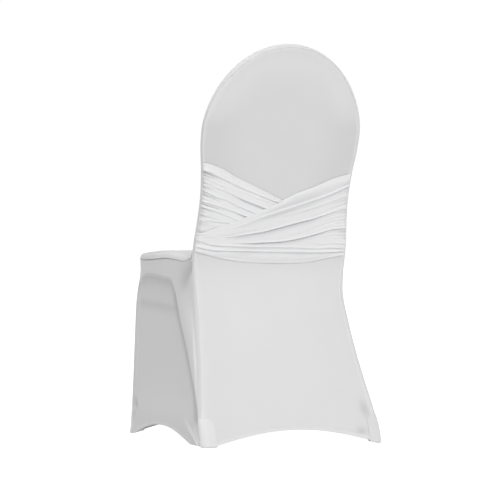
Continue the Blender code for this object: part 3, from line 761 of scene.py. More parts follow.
def inner_back_grid():
    height = np.concatenate([
        INNER_FOOT + HALF_GAP + HEM_STEPS,
        back_heights()[back_heights() > INNER_FOOT + 0.016],
    ])[:, None]
    halves = []
    for side in (1, -1):
        turn, distance = turns_from(seam_turn(side, height), rear_corner(height), -90.0, 9)
        halves.append(rim(side, height, turn, seam_roll(distance)))
    left, right = halves[0][:, -1:], halves[1][:, -1:]
    share = np.maximum(0.0, (height - INNER_BOW_FROM) / (TOP - INNER_BOW_FROM))
    bow = (INNER_BOW * np.sin(np.pi * share))[..., None] * back_frame(height)[1]
    span = np.linspace(-1.0, 1.0, SPAN_COLUMNS)[None, 1:-1, None]
    middle = mix(left, right, 0.5 + 0.5 * span) - bow * (1.0 - span ** 2)
    low = unevenness(middle[..., 0], middle[..., 2], 12) * ease((TOP - height) / TIP_FADE)
    middle = middle - low[..., None] * back_frame(height)[1]
    return np.concatenate([halves[0], middle, halves[1][:, ::-1]], axis=1)


inner_back = cloth("inner_back", inner_back_grid(), "body_knit", outward=False)

# %% [markdown]
# ## Side skirts
# A side skirt reaches from the rear seam round the rear leg's corner, along the side, and round the
# front leg's corner. Its lower edge follows the side hem's arch and its upper edge the seat's wavy
# seam. One column of the grid runs down the rear leg's sloping line, so that the crease beside the
# sunk field stays crisp.

# %% Seat seam
SEAT_SEAM = np.array([            # depth and height
    (-0.262, 0.4345), (-0.215, 0.4340), (-0.144, 0.4350), (-0.052, 0.4390),
    (0.007, 0.4360), (0.052, 0.4325), (0.075, 0.4322), (0.092, 0.4360), (0.108, 0.4410),
    (0.119, 0.4300), (0.140, 0.4300),
])
SEAT_FLAT = 0.4345
FRONT_SEAM_TURN = -50.0
seat_seam = profile(SEAT_SEAM)
print("the seat's seam rises and falls by", round(float(np.ptp(SEAT_SEAM[:, 1])), 4))

# %% Side relief
RAIL_SHADOW = (0.3220, 0.0480, 0.011, 0.0016)   # height at -0.125, slope, half width and depth
PUCKER = ((-0.244, 0.100), (-0.220, 0.067))     # the pinched spot's edge, from its top down
TUCK_FOLD = ((0.124, 0.436), (0.026, 0.338))    # from the corner behind the seat, down and forward
FOOT_RAYS = (((0.249, 0.004), (0.128, 0.066)), ((0.250, 0.003), (0.166, 0.042)),
             ((0.252, 0.008), (0.202, 0.046)))
PUCKER_RIDGE = ((-0.236, 0.066), (-0.258, 0.030))
PUCKER_LINE = ((-0.222, 0.066), (-0.246, 0.034))
FACET_BULGE, GROOVE_DEPTH, TUCK_FOLD_DEPTH, PUCKER_DEPTH = 0.0040, 0.0022, 0.0045, 0.0040
STROKE_DEPTH, RAY_HEIGHT, RIDGE_HEIGHT = 0.0020, 0.0026, 0.0022
STROKE_FOOT, STROKE_FADE = 0.398, 0.012


def corner_stroke(depth, height):
    """A deep short crease right beside the back's seam, where the cloth dives behind the seat."""
    beside = hump(depth - side_ends(height)[0] + 0.001, 0.0040)
    return beside * ease((height - STROKE_FOOT) / STROKE_FADE)


def fold(depth, height, start, end, width, softer=1.0):
    """A soft ridge of height 1 from one point to another, fading at both ends. It may fade more
    softly on its front side."""
    span = np.subtract(end, start)
    length = float(np.hypot(*span))
    along = ((depth - start[0]) * span[0] + (height - start[1]) * span[1]) / length
    away = ((depth - start[0]) * span[1] - (height - start[1]) * span[0]) / length
    fade = ease(along / (0.25 * length) + 0.5) * ease((length - along) / (0.6 * length))
    width = width * (0.5 + 0.8 * np.clip(along / length, 0.0, 1.0))
    return hump(away, width * np.where(away > 0.0, softer, 1.0)) * fade


def rail_trough(depth, height):
    """The soft trough that runs along under the seat rail."""
    middle, slope, half_width, _ = RAIL_SHADOW
    above = height - (middle - slope * (depth + 0.125))
    return hump(above, np.where(above > 0.0, 0.7, 1.3) * half_width)


def foot_rays(depth, height, width):
    return sum(fold(depth, height, start, end, width) for start, end in FOOT_RAYS)


def side_marks(depth, height):
    """Shares from 0 to 1: the sunk field, its edge, the trough in it, the tuck and the pucker."""
    front, into = side_ends(height)[1], into_field(depth, height)
    fade = ease((depth - front + 0.004) / FRONT_LEG_STEP) * ease((height - 0.046) / 0.020)
    inside = ease(into / FIELD_STEP) * ease((depth - front) / FRONT_LEG_STEP)
    reach = np.maximum(into - mix(0.008, 0.002, under_rail(height)), 0.0)
    edge = np.where(into < 0.0, hump(into, 0.0012), hump(reach, 0.0140)) * fade
    tuck = fold(depth, height, *TUCK_FOLD, 0.0115, 1.6)
    (top_y, top_z), (foot_y, foot_z) = PUCKER
    down = (top_z - height) / (top_z - foot_z)
    behind = depth - mix(top_y, foot_y, down)
    pucker = np.where(behind > 0.0, hump(behind, 0.0036), hump(behind, mix(0.006, 0.018, down)))
    pucker = pucker * ease(down / 0.7) * ease((1.0 - down) / 0.10 + 0.5)
    return inside, edge, rail_trough(depth, height) * inside, tuck, pucker


def side_relief(depth, height, seed):
    """Lifts of the flat part of the side, apart from its seams and hem."""
    _, _, trough, tuck, pucker = side_marks(depth, height)
    rear, front = side_ends(height)
    facet = np.clip(-past_leg_line(depth, height) / 0.075, 0.0, 1.0)
    bulge = FACET_BULGE * np.sin(np.pi * facet) * ease((LEG_LINE_TOP + 0.03 - height) / 0.10)
    lift = bulge * ease((rear - depth) / 0.010) * ease((height - 0.02) / 0.06)
    groove = hump(into_field(depth, height), 0.0030) * mix(1.0, 0.3, under_rail(height))
    groove = groove * ease(height / 0.08) * ease((depth - front) / 0.020)
    lift = lift - GROOVE_DEPTH * groove - RAIL_SHADOW[3] * trough - TUCK_FOLD_DEPTH * tuck
    lift = lift - PUCKER_DEPTH * pucker - STROKE_DEPTH * corner_stroke(depth, height)
    lift = lift + RAY_HEIGHT * foot_rays(depth, height, 0.0052)
    lift = lift + RIDGE_HEIGHT * fold(depth, height, *PUCKER_RIDGE, 0.0050)
    return lift + unevenness(depth, height, seed)


def leg_edge(height):
    """Where painted shade lies beside the front leg's edge: between its foot and the seat rail."""
    return ease((RAIL_HEIGHT - 0.012 - height) / 0.020) * ease((height - 0.020) / 0.060)


# Tones of the side. Beside the hollow showing through the field, they are painted shade: under the
# seat's edge, along the field's edge, in the trough, beside the front leg, in the tuck, the corner
# crease and the pucker. Painted light lies on the foot's rays and near the rear seam.
FIELD_SHADE, APRON_SHARE, RAIL_SHADE, TROUGH_SHADE = 0.25, 0.4, 0.10, 0.34
LOW_EDGE_SHADE, RAIL_EDGE_SHADE, LEG_EDGE_SHADE = 1.00, 0.50, 0.55
SEAM_FACET, LINE_FACET, FOOT_FACET = -0.75, 0.35, 0.45      # painted light by the rear seam, painted shade at the leg's line and foot, round the rear leg
STROKE_SHADE, TUCK_SHADE, BROAD_TUCK_SHADE, PUCKER_SHADE = 0.6, 0.28, 0.48, 0.85
RAY_LIGHT, PUCKER_LINE_SHADE = 0.9, 0.5


def side_painted_shade(depth, height):
    """The side's tone: the hollow showing through, and painted shade and painted light on top."""
    inside, edge, trough, tuck, pucker = side_marks(depth, height)
    rear, front = side_ends(height)
    to_line = np.clip((rear - depth) / np.maximum(rear - leg_line(height), 0.004), 0.0, 1.0)
    apron = ease((height - 0.33) / 0.06) * ease((0.06 - depth) / 0.22)
    tone = FIELD_SHADE * np.maximum(inside, APRON_SHARE * apron)
    tone = tone + mix(LOW_EDGE_SHADE, RAIL_EDGE_SHADE, under_rail(height)) * edge
    tone = tone + TROUGH_SHADE * trough + STROKE_SHADE * corner_stroke(depth, height)
    tone = tone + RAIL_SHADE * under_rail(height) * inside
    tone = tone + LEG_EDGE_SHADE * leg_edge(height) * (1.0 - ease((depth - front) / 0.016))
    facet = mix(SEAM_FACET, LINE_FACET, to_line) * ease((LEG_LINE_TOP + 0.02 - height) / 0.10)
    facet = facet + FOOT_FACET * ease((0.17 - height) / 0.09)
    tone = tone + np.where(past_leg_line(depth, height) < 0.0, facet, 0.0)
    tone = tone + TUCK_SHADE * tuck + BROAD_TUCK_SHADE * fold(depth, height, *TUCK_FOLD, 0.024, 1.8)
    tone = tone + PUCKER_SHADE * pucker - RAY_LIGHT * foot_rays(depth, height, 0.0060)
    tone = tone + PUCKER_LINE_SHADE * fold(depth, height, *PUCKER_LINE, 0.0035)
    return np.clip(tone, -1.0, 1.3)


# %% Side skirts
SEAT_LINE_SHADE, SIDE_HEM_LIGHT = 1.1, 0.15


def seat_groove(distance):
    """The seat's seam is pulled in: its skirt has a groove there, at a distance below it."""
    return 0.0004 * hump(distance - 0.0045, 0.0020) - 0.0012 * hump(distance, 0.0014)


def skirt_rows():
    """Rows between the hem and the upper seam, close together at both: as shares of the height, as
    heights above the hem and as depths below the seam."""
    span = INNER_FOOT - HEM_LIFT
    low, high = HEM_STEPS / span, 1.0 - SEAM_STEPS[::-1] / span
    plain = np.arange(low[-1] + 0.006, 0.84, 0.0070)
    rail = np.arange(0.843, high[0] - 0.002, 0.0032)
    share = np.concatenate([low, plain, rail, high])[:, None]
    return share, share * span, (1.0 - share) * span


def seat_line(depth, below):
    """Painted shade in a line under the seat's seam, fading out to the rear and right at the front."""
    line = SEAT_LINE_SHADE * hump(below, 0.0022) * ease((0.060 - depth) / 0.070)
    line = line * mix(0.45, 1.0, ease((depth + 0.225) / 0.080))
    return line * ease((depth + 0.256) / 0.030)


def side_skirt_grid(side, seed):
    share, above, below = skirt_rows()
    edges = hem_roll(above) + seat_groove(below)

    rear_z = mix(HEM_LIFT, INNER_FOOT - HALF_GAP, share)
    turn, distance = turns_from(seam_turn(side, rear_z), rear_corner(rear_z), 0.0, 7)
    parts = [rim(side, rear_z, turn, edges + seam_roll(distance))]
    # Painted shade of the crease at the corner behind the seat, on the rim.
    stroke = 0.8 * hump(turn, 12.0) * ease((rear_z - STROKE_FOOT) / STROKE_FADE)
    behind = [layers_behind(distance, above) + stroke]

    front_z = mix(HEM_LIFT, SEAT_SEAM[0, 1] - HALF_GAP, share)
    start, end = parts[0][:, -1:, 1], side_ends(front_z)[1]
    line = np.minimum(leg_line(np.minimum(rear_z, LEG_LINE_TOP)), start - 0.004)
    sunk = line - 1.4 * FIELD_STEP
    depth = np.concatenate(
        [between(start, line, 34), between(line, sunk, 9), between(sunk, end, 96)], axis=1
    )
    height = mix(arch(SIDE_ARCH, depth), seat_seam(depth) - HALF_GAP, share)
    sewn = hem_roll(above) + seat_groove(below) * ease((0.085 - depth) / 0.040)
    parts.append(on_side(side, depth, height, sewn + side_relief(depth, height, seed)))
    hem = SIDE_HEM_LIGHT * layers_behind(1.0, above)
    # The side's tone is mostly painted shade and light, with a painted shade line under the seat's
    # seam.
    behind.append(side_painted_shade(depth, height) + hem + seat_line(depth, below))

    turn, distance = turns_from(FRONT_SEAM_TURN, front_corner(front_z), 0.0, 6, away=1.0)
    turn, distance = turn[:, -2::-1], distance[:, -2::-1]
    parts.append(front_rim(side, front_z, turn, edges + seam_roll(distance)))
    # Painted shade beside the front leg.
    behind.append(layers_behind(distance, above) + LEG_EDGE_SHADE * leg_edge(front_z))
    return np.concatenate(parts, axis=1), np.concatenate(behind, axis=1)


side_skirts, side_stitches = {}, {}
for side, name, seed in ((1, "side_skirt_left", 21), (-1, "side_skirt_right", 22)):
    grid, backing_and_painted_shade = side_skirt_grid(side, seed)
    side_skirts[side] = cloth(name, grid, "body_knit", outward=side < 0, backing_and_painted_shade=backing_and_painted_shade)
    side_stitches[side] = stitches(name + "_stitches", hem_rows(grid, side < 0))

# %% [markdown]
# ## Front skirt
# The sitter's side below the seat: a plain taut panel between the two front seams, bowed in a
# little between the legs, with the same arched hem.

# %% Front skirt
FRONT_BOW = -0.006


def front_skirt_grid():
    share, above, below = skirt_rows()
    edges = hem_roll(above) + seam_roll(below)
    top = SEAT_SEAM[0, 1] - HALF_GAP
    level = mix(HEM_LIFT, top, share)
    turn, distance = turns_from(FRONT_SEAM_TURN, front_corner(level), -90.0, 6)
    lift = edges + seam_roll(distance)
    left, right = front_rim(1, level, turn, lift), front_rim(-1, level, turn, lift)
    span = np.linspace(1.0, -1.0, SPAN_COLUMNS)[None, 1:-1]
    height = mix(arch(FRONT_ARCH, span * left[:, -1:, 0]), top, share)
    bow = FRONT_BOW * (1.0 - span ** 2) * np.sin(np.pi * share)
    low = unevenness(span * 0.2, height, 31) * np.sin(np.pi * share)
    corner = front_rim(1, height, -90.0, edges + low)
    middle = np.stack([span * corner[..., 0], corner[..., 1] + bow, height], axis=-1)
    return np.concatenate([left, middle, right[:, ::-1]], axis=1)


grid = front_skirt_grid()
front_skirt = cloth("front_skirt", grid, "body_knit", outward=False)
front_stitches = stitches("front_hem_stitches", hem_rows(grid, False))

# %% [markdown]
# ## Seat
# The seat's cloth lies over a padded, slightly domed seat. It is built as rings that run round the
# seat: from the wavy seam the cloth climbs over the pad's edge and then flattens towards the middle.

# %% Seat
SEAT_CORNER_TURN = -40.0     # the seat's rear corner goes this far round the post of the back
SEAT_RINGS = np.array([      # how far in from the seam, and how far above it
    (0.000, 0.0001), (0.000, 0.0060), (0.0025, 0.0115), (0.009, 0.0160),
    (0.026, 0.0195), (0.055, 0.0215), (0.085, 0.0215),
])


def seat_outline():
    """Plan points round the left half of the seat, from the middle of its rear edge forward."""
    corner_x, rear = rim(1.0, INNER_FOOT, -90.0, SEAM_GAP)[:2]
    post = rim(1.0, INNER_FOOT, np.linspace(-90.0, SEAT_CORNER_TURN, 10)[1:], LAYER_GAP)
    depth = np.linspace(post[-1, 1] - 0.0010, side_ends(SEAT_FLAT)[1], 120)
    round_front = front_rim(1.0, SEAT_FLAT, np.linspace(0.0, -90.0, 22)[1:])
    return np.concatenate([
        np.linspace((0.0, rear), (corner_x, rear), 46),
        post[:, :2],
        on_side(1.0, depth, seat_seam(depth))[:, :2],
        round_front[:, :2],
        np.linspace(round_front[-1, :2], (0.0, round_front[-1, 1]), 40)[1:],
    ])


def rounded_off(loop, reach):
    """A closed loop of values, each averaged with those up to `reach` places away."""
    ring = loop[:-1]
    ring = np.mean([np.roll(ring, k, axis=0) for k in range(-reach, reach + 1)], axis=0)
    return np.concatenate([ring, ring[:1]])


def seat_grid():
    left = seat_outline()
    around = np.concatenate([left, left[-2::-1] * (-1.0, 1.0)])
    wide, rear, front = on_side(1.0, 0.0, SEAT_FLAT)[0], left[0, 1], left[-1, 1]
    middle, deep = 0.5 * (rear + front), 0.5 * (rear - front)
    ring = np.linspace(0.0, 6.0, 49)[:, None]
    wider = mix(1.0, 1.5, ease((around[:, 1] + 0.1) / 0.1))
    wider = rounded_off(mix(wider, 1.0, ease((around[:, 1] - rear + 0.003) / 0.002)), 12)
    inset = curve(range(7), SEAT_RINGS[:, 0], ring) * wider[None, :]
    rise = curve(range(7), SEAT_RINGS[:, 1], ring)
    last = np.linspace(0.0, 1.0, 22)[1:, None]
    shrink_x, shrink_y = [
        np.concatenate([1.0 - inset / half, (1.0 - inset[-1:] / half) * (1.0 - last)])
        for half in (wide, deep)
    ]
    rise = np.concatenate([rise, np.full_like(last, SEAT_RINGS[-1, 1])])
    inset = np.concatenate([inset, np.broadcast_to(SEAT_RINGS[-1, 0], (len(last), inset.shape[1]))])
    inside = ease((inset - 0.004) / 0.030)[..., None]
    plan = mix(around[None], rounded_off(rounded_off(around, 9), 9)[None], inside)
    x = plan[..., 0] * shrink_x
    y = middle + (plan[..., 1] - middle) * shrink_y
    base = mix(seat_seam(around[None, :, 1]), SEAT_FLAT, ease(inset / SEAT_RINGS[-2, 0]))
    roll = seam_roll(np.hypot(inset, rise - SEAT_RINGS[0, 1]))
    outward = around - (0.0, middle)
    outward = outward / np.linalg.norm(outward, axis=1)[:, None]
    low = 4.0 * unevenness(x, y, 41) * ease(inset / 0.03)
    return np.stack([x + roll * outward[:, 0], y + roll * outward[:, 1], base + rise + low], axis=-1)


grid = seat_grid()
# Painted light and shade on the seat: darker at the front, lighter towards the back.
rearward = ease((grid[..., 1] + 0.160) / 0.120)
seat = cloth("seat_panel", grid, "body_knit", outward=False, name="seat",
             backing_and_painted_shade=mix(0.25, -0.60, rearward))

# %% [markdown]
# ## Foot pockets
# A doubled patch covers each foot: outside it is sewn on over the skirts, below it passes under the
# hem, and inside it stands up behind the leg. The stations run round the foot, from the patch's end
# on the side, round the leg's corner, to its end on the back or the front.

# %% Foot pockets
POCKET_GAP, POCKET_RELIEF, INNER_WALL = 0.0003, 0.0003, -0.0051
POCKET_CORNER, POCKET_INNER_TOP = 0.018, 0.042
POCKET_TOP = {"rear": 0.066, "front": 0.060}
POCKET_ENDS = {"rear": (0.192, 0.195), "front": (-0.196, 0.172)}    # on the side, and behind or before
POCKET_STITCH = 0.0032        # the stitches run this far inside the patch's edge
SHOWN_FROM = 3.0              # degrees round the corner, where the patch comes out of the side seam
SOLE_ROUND, HIDDEN_BELOW = 0.0022, 0.0007      # the rest of the patch lies hidden under the skirt
SIDE_STATIONS, CORNER_STATIONS, END_STATIONS = 21, 24, 14
STATION_COUNT = SIDE_STATIONS + CORNER_STATIONS + END_STATIONS + 1


def foot_point(where, side, station, height, lift):
    """A point at a station, a number that counts round the foot from the patch's end on the side."""
    rear, (start, end) = where == "rear", POCKET_ENDS[where]
    if station <= SIDE_STATIONS:
        depth = mix(start, side_ends(height)[0 if rear else 1], station / SIDE_STATIONS)
        return on_side(side, depth, height, lift)
    station = station - SIDE_STATIONS
    if station <= CORNER_STATIONS:
        share = station / CORNER_STATIONS
        return (rim if rear else front_rim)(side, height, (90.0 if rear else -90.0) * share, lift)
    share = (station - CORNER_STATIONS) / END_STATIONS
    if rear:
        flat = rear_half_width(height) - rear_corner(height)
        return on_back(side * mix(flat, end, share), height, lift)
    corner = front_rim(side, height, -90.0, lift)
    x = mix(np.abs(corner[..., 0]), end, share)
    return np.stack([side * x, corner[..., 1], corner[..., 2]], axis=-1)


def pocket_lift(edge, height):
    """How far the patch's face stands off the skirt, at a distance inside the patch's edge."""
    hem = HEM_RISE * (1.0 - ease((height - HEM_WIDTH - HEM_LIFT) / 0.0020))
    sewn = hump(edge, 0.0012) + hump(edge - POCKET_STITCH, 0.0009) - ease((edge - 0.006) / 0.010)
    return POCKET_GAP + POCKET_CLOTH + hem - POCKET_RELIEF * sewn


def pocket_shape(where, side):
    """For each station: its distance round the foot, the patch's top and its sole."""
    inner_line, floor_line = [
        np.array([foot_point(where, side, k, height, 0.0) for k in range(STATION_COUNT)])
        for height in (POCKET_INNER_TOP, HEM_LIFT)
    ]
    along = lengths_along(inner_line, 0)
    cut = POCKET_CORNER - np.minimum(along[-1] - along, POCKET_CORNER)
    top = POCKET_TOP[where] - POCKET_CORNER + np.sqrt(POCKET_CORNER ** 2 - cut ** 2)
    end_arch = REAR_ARCH if where == "rear" else FRONT_ARCH
    sole = np.maximum(arch(SIDE_ARCH, floor_line[:, 1]), arch(end_arch, floor_line[:, 0]))
    return along, top, sole - HEM_LIFT


def pocket_grid(where, side):
    along, tops, soles = pocket_shape(where, side)
    wall = np.concatenate([[0.0, 0.012, 0.03, 0.055, 0.08, 0.11, 0.15], np.linspace(0.2, 1.0, 26)])
    rise = np.linspace(0.0, POCKET_INNER_TOP, 12)
    start, end = [
        foot_point(where, side, station, raised + rise * (1.0 - raised / POCKET_INNER_TOP), INNER_WALL)
        for station, raised in ((0, soles[0] + 2.6 * HEM_LIFT), (STATION_COUNT - 1, soles[-1]))
    ]
    columns = []
    for station, (place, top, sole) in enumerate(zip(along, tops, soles)):
        shown = ease((90.0 * (station - SIDE_STATIONS) / CORNER_STATIONS - SHOWN_FROM) / 4.0)
        sole = sole + 1.8 * HEM_LIFT * (1.0 - shown)
        height = mix(top, sole, wall)
        edge = np.minimum(top - height, along[-1] - place)
        inner = 1.0 - np.clip((height - sole) / SOLE_ROUND, 0.0, 1.0)
        lift = mix(-CLOTH - HIDDEN_BELOW, pocket_lift(edge, height), shown)
        lift = lift - SOLE_ROUND * (1.0 - np.sqrt(1.0 - inner ** 2)) * shown
        face = foot_point(where, side, station, height, lift)
        back_wall = mix(start, end, place / along[-1])
        under = mix(face[-1], back_wall[0], np.linspace(0.0, 1.0, 7)[1:-1, None])
        columns.append(np.concatenate([face, under, back_wall]))
    return np.stack(columns, axis=1)[::-1]


def pocket_seam(where, side):
    """The stitch line inside the patch's edge: up its end, round the corner and along its top."""
    along = pocket_shape(where, side)[0]
    inset = POCKET_CORNER - POCKET_STITCH
    centre, middle = along[-1] - POCKET_CORNER, POCKET_TOP[where] - POCKET_CORNER
    turn = np.linspace(0.0, 0.5 * np.pi, 9)[1:-1]
    rise = np.linspace(0.012, middle, 8)
    run = np.linspace(centre, along[SIDE_STATIONS] + 0.004, 12)
    places = np.concatenate([np.full_like(rise, centre + inset), centre + inset * np.cos(turn), run])
    heights = np.concatenate([rise, middle + inset * np.sin(turn), np.full_like(run, middle + inset)])
    path, outward = [], []
    for place, height in zip(places, heights):
        station = np.interp(place, along, np.arange(STATION_COUNT))
        lift = pocket_lift(POCKET_STITCH, height)
        point, above = [foot_point(where, side, station, height, lift + k) for k in (0.0, 0.001)]
        path.append(point)
        outward.append((above - point) / 0.001)
    return np.array(path), np.array(outward)


pockets, pocket_stitches = {}, {}
for side, hand in ((1, "left"), (-1, "right")):
    for where in ("rear", "front"):
        name = f"foot_pocket_{where}_{hand}"
        # The right pockets get painted shade and look a little darker.
        pockets[where, hand] = cloth(
            name, pocket_grid(where, side), "pocket_knit",
            outward=(side < 0) == (where == "front"), backing_and_painted_shade=0.0 if side > 0 else 0.45,
        )
        seam = [pocket_seam(where, side)]
        pocket_stitches[where, hand] = stitches(name + "_stitches", seam)

# %% [markdown]
# ## The crossed sash
# Two gathered bands are sewn into the side seams: the under sash falls from the left to the right
# and the over sash crosses it from right to left. Gathered knit lies in folds that lap like roof
# tiles. From each crease the cloth rises gently to the next fold's crest, and then drops steeply
# into the next crease.
# A cloth simulation could make folds, but not these folds. So every main crease has a smooth line
# of its own across the back, and its depth at several places. The grid's rows follow the main
# lines, and each crease, ridge and gather is a lift above the cloth below.

# %% Sash lines
TENTHS = 10000.0      # tenths of a millimetre in a metre, the unit of the tables below
PLACES = (-0.19, -0.14, -0.09, -0.04, 0.01, 0.06, 0.11, 0.15, 0.19)   # right to left
OVER_LINES = np.array([
    (6425, 6294, 6095, 5919, 5687, 5473, 5279, 5161, 5009),
    (6214, 6000, 5829, 5676, 5518, 5352, 5151, 5040, 4965),
    (5904, 5747, 5598, 5474, 5350, 5215, 5050, 4975, 4930),
    (5627, 5488, 5333, 5215, 5087, 4989, 4911, 4886, 4880),
    (5107, 5082, 4941, 4834, 4784, 4761, 4773, 4802, 4835),
    (4626, 4640, 4629, 4649, 4661, 4669, 4678, 4704, 4790),
    (4544, 4531, 4526, 4532, 4548, 4560, 4569, 4580, 4645),
    (4460, 4368, 4286, 4266, 4272, 4289, 4344, 4425, 4529),
]) / TENTHS
UNDER_LINES = np.array([
    (5150, 5297, 5465, 5660, 5879, 6098, 6306, 6503, 6624),
    (5080, 5222, 5384, 5569, 5757, 5918, 6097, 6264, 6431),
    (4990, 5094, 5216, 5359, 5512, 5674, 5857, 6060, 6200),
    (4900, 4957, 5038, 5150, 5300, 5478, 5661, 5806, 5970),
    (4800, 4840, 4898, 4980, 5124, 5307, 5495, 5613, 5723),
    (4720, 4746, 4790, 4860, 4967, 5114, 5326, 5473, 5589),
    (4650, 4662, 4685, 4730, 4816, 4955, 5120, 5200, 5279),
    (4560, 4560, 4565, 4580, 4600, 4620, 4670, 4720, 4800),
]) / TENTHS

# %% Sash creases
def crease_table(*rows):
    """Creases in metres. A row holds over what heights the crease falls from the fold above and
    rises below, and then its places from right to left: how far across, how high and how deep."""
    return [(np.array(reach) / TENTHS, np.array(places) / TENTHS) for reach, *places in rows]


OVER_CREASES = crease_table(
    ((28, 90), (-1850, 6130, 30), (-1320, 5905, 32), (-860, 5755, 33), (-400, 5615, 32),
     (50, 5478, 29), (500, 5330, 25), (850, 5192, 18), (1300, 5060, 4)),
    ((18, 60), (-1850, 5890, 26), (-1350, 5732, 23), (-880, 5593, 17), (-420, 5479, 10),
     (0, 5375, 2)),
    ((13, 75), (-1880, 5620, 22), (-1370, 5479, 32), (-910, 5336, 38), (-600, 5264, 40),
     (-150, 5152, 40), (310, 5038, 38), (760, 4965, 34), (1150, 4906, 26), (1580, 4884, 10)),
    ((12, 70), (-1880, 5105, 16), (-1480, 5094, 32), (-1200, 5023, 38), (-800, 4916, 38),
     (-490, 4849, 38), (-190, 4805, 38), (280, 4775, 36), (680, 4760, 26), (1100, 4768, 4)),
    ((12, 45), (-1880, 4735, 20), (-1620, 4756, 24), (-1230, 4742, 18), (-780, 4790, 0)),
    ((13, 38), (-1880, 4626, 26), (-1470, 4642, 29), (-1150, 4623, 24), (-520, 4646, 20),
     (270, 4664, 19), (1040, 4676, 25), (1590, 4714, 30), (1910, 4802, 22)),
    ((19, 50), (-1880, 4544, 34), (-1480, 4533, 33), (-1030, 4526, 30), (-530, 4530, 28),
     (260, 4553, 27), (1030, 4568, 29), (1550, 4582, 31), (1910, 4645, 26)),
)
UNDER_CREASES = crease_table(
    ((12, 60), (-100, 5690, 38), (300, 5817, 32), (680, 5946, 22), (1090, 6093, 22),
     (1510, 6268, 24), (1910, 6435, 26)),
    ((9, 20), (0, 5640, 20), (670, 5858, 18), (1200, 6055, 0)),
    ((11, 40), (1280, 6005, 0), (1390, 6048, 16), (1670, 6154, 22), (1910, 6262, 18)),
    ((11, 35), (1180, 5930, 0), (1330, 5980, 16), (1600, 6031, 24), (1850, 6115, 16)),
    ((12, 70), (220, 5549, 40), (340, 5589, 40), (590, 5671, 38), (910, 5779, 34), (1320, 5939, 18),
     (1600, 6010, 0)),
    ((16, 70), (550, 5460, 22), (1050, 5640, 24), (1360, 5774, 24), (1640, 5839, 26),
     (1910, 5970, 22)),
    ((12, 50), (750, 5370, 34), (840, 5403, 34), (1030, 5472, 28), (1340, 5567, 22),
     (1620, 5647, 22), (1910, 5725, 20)),
    ((16, 55), (1000, 5300, 16), (1330, 5413, 22), (1610, 5509, 22), (1910, 5585, 20)),
    ((12, 40), (1250, 5243, 16), (1370, 5249, 24), (1710, 5268, 26), (1910, 5282, 20)),
)

END_FADE, PRESSED_AT_SEAM = 0.012, 0.55
SLIT_ABOVE, SLIT_BELOW = 0.0018, 0.0030          # only deep, steep creases have a sharp slit
SLIT_DEPTH_FROM, SLIT_DEPTH_FADE, SLIT_STEEP_TO, SLIT_STEEP_FADE = 0.0014, 0.0022, 0.0027, 0.0010
LAP_SHARE, SLIT_SHARE, LIP_SHARE, LAP_WIDER = 0.75, 0.40, 0.45, 2.0
LIP_AT, LIP_WIDTH = 0.0034, 0.0022
# Each crease's painted tone: painted shade below it and a painted highlight on the crest above it.
CREASE_SHADE, SHADE_ABOVE, SHADE_BELOW, FULL_DEPTH = 0.45, 0.0008, 0.9, 0.004
CREST_LIGHT, CREST_AT, CREST_WIDTH = 0.70, 0.0036, 0.0028


def line_height(line, across):
    return curve(PLACES, line, across)


def crease_lift(crease, across, height):
    """The lift of one crease, below 0: a steep drop from above and a gentle rise further down.
    The second value is its tone: painted shade below the crease, a painted highlight on the crest."""
    (steep, gentle), table = crease
    first, last = table[0, 0], table[-1, 0]
    above = height - profile(table)(across)
    ends = ease((across - first) / END_FADE + 1.0) * ease((last - across) / END_FADE + 1.0)
    depth = np.interp(across, table[:, 0], table[:, 2])
    depth = depth * np.where((across < first) | (across > last), ends ** 4, 1.0)
    reach = np.where(above > 0.0, above / (LAP_WIDER * steep), -above / gentle)
    slit = np.where(above > 0.0, above / SLIT_ABOVE, -above / SLIT_BELOW)
    lip = LIP_SHARE * hump(above - LIP_AT, LIP_WIDTH)
    sharp = SLIT_SHARE * ease((depth - SLIT_DEPTH_FROM) / SLIT_DEPTH_FADE)
    sharp = sharp * ease((SLIT_STEEP_TO - steep) / SLIT_STEEP_FADE)
    drop = depth * (lip - LAP_SHARE * np.exp(-reach) - sharp * np.exp(-slit * slit))
    shaded = np.exp(np.where(above > 0.0, -above / SHADE_ABOVE, above / (SHADE_BELOW * gentle)))
    crest = CREST_LIGHT * hump(above - CREST_AT, CREST_WIDTH)
    return drop, depth / FULL_DEPTH * (CREASE_SHADE * shaded - crest)


def pressed(creases, lift, across, height, seam):
    """The lift with all its creases pressed in, shallower beside the seams, and their painted tones.
    """
    tones = 0.0
    for crease in creases:
        drop, tone = crease_lift(crease, across, height)
        lift, tones = lift + drop * mix(PRESSED_AT_SEAM, 1.0, seam), tones + tone
    return lift, tones


# %% [markdown]
# ## Gathers
# In the side seams each band is drawn together to half its width. That puts many short wrinkles,
# two or three millimetres apart, side by side along the seam, which run out after 10 to 30 mm.
# They follow the rows of the grid, so they fan out with the folds.

# %% Gathers and minor folds
FINE = ((0.0018, 0.0040), (0.0012, 0.0034), (0.012, 0.040), (0.0008, 0.0013))
COARSE = ((0.0060, 0.0110), (0.0026, 0.0046), (0.030, 0.070), (0.0012, 0.0022))


def along_row(row, rows, height):
    """The heights along one row of the grid, which may lie between two of its rows."""
    return np.array([np.interp(row, rows, column) for column in height.T])[None, :]


def gathers(from_seam, height, rows, bands, sizes, seed):
    """Short wrinkles that start at a seam. from_seam, height: grids; bands: heights at the seam;
    sizes: the least and most that their spacing, depth, length and width may be."""
    chance = np.random.default_rng(seed)
    lift = np.zeros_like(height)
    column = int(np.argmin(from_seam[0]))
    low, place = bands
    while place > low:
        row = np.interp(-place, -height[:, column], rows)
        line = along_row(row, rows, height)
        pitch, depth, long, wide = [chance.uniform(*size) for size in sizes]
        fade = np.clip(1.0 - from_seam / long, 0.0, 1.0) ** 0.7 * ease(from_seam / 0.0015)
        lift -= depth * fade * np.exp(-np.abs(height - line) / wide)
        place -= pitch
    return lift


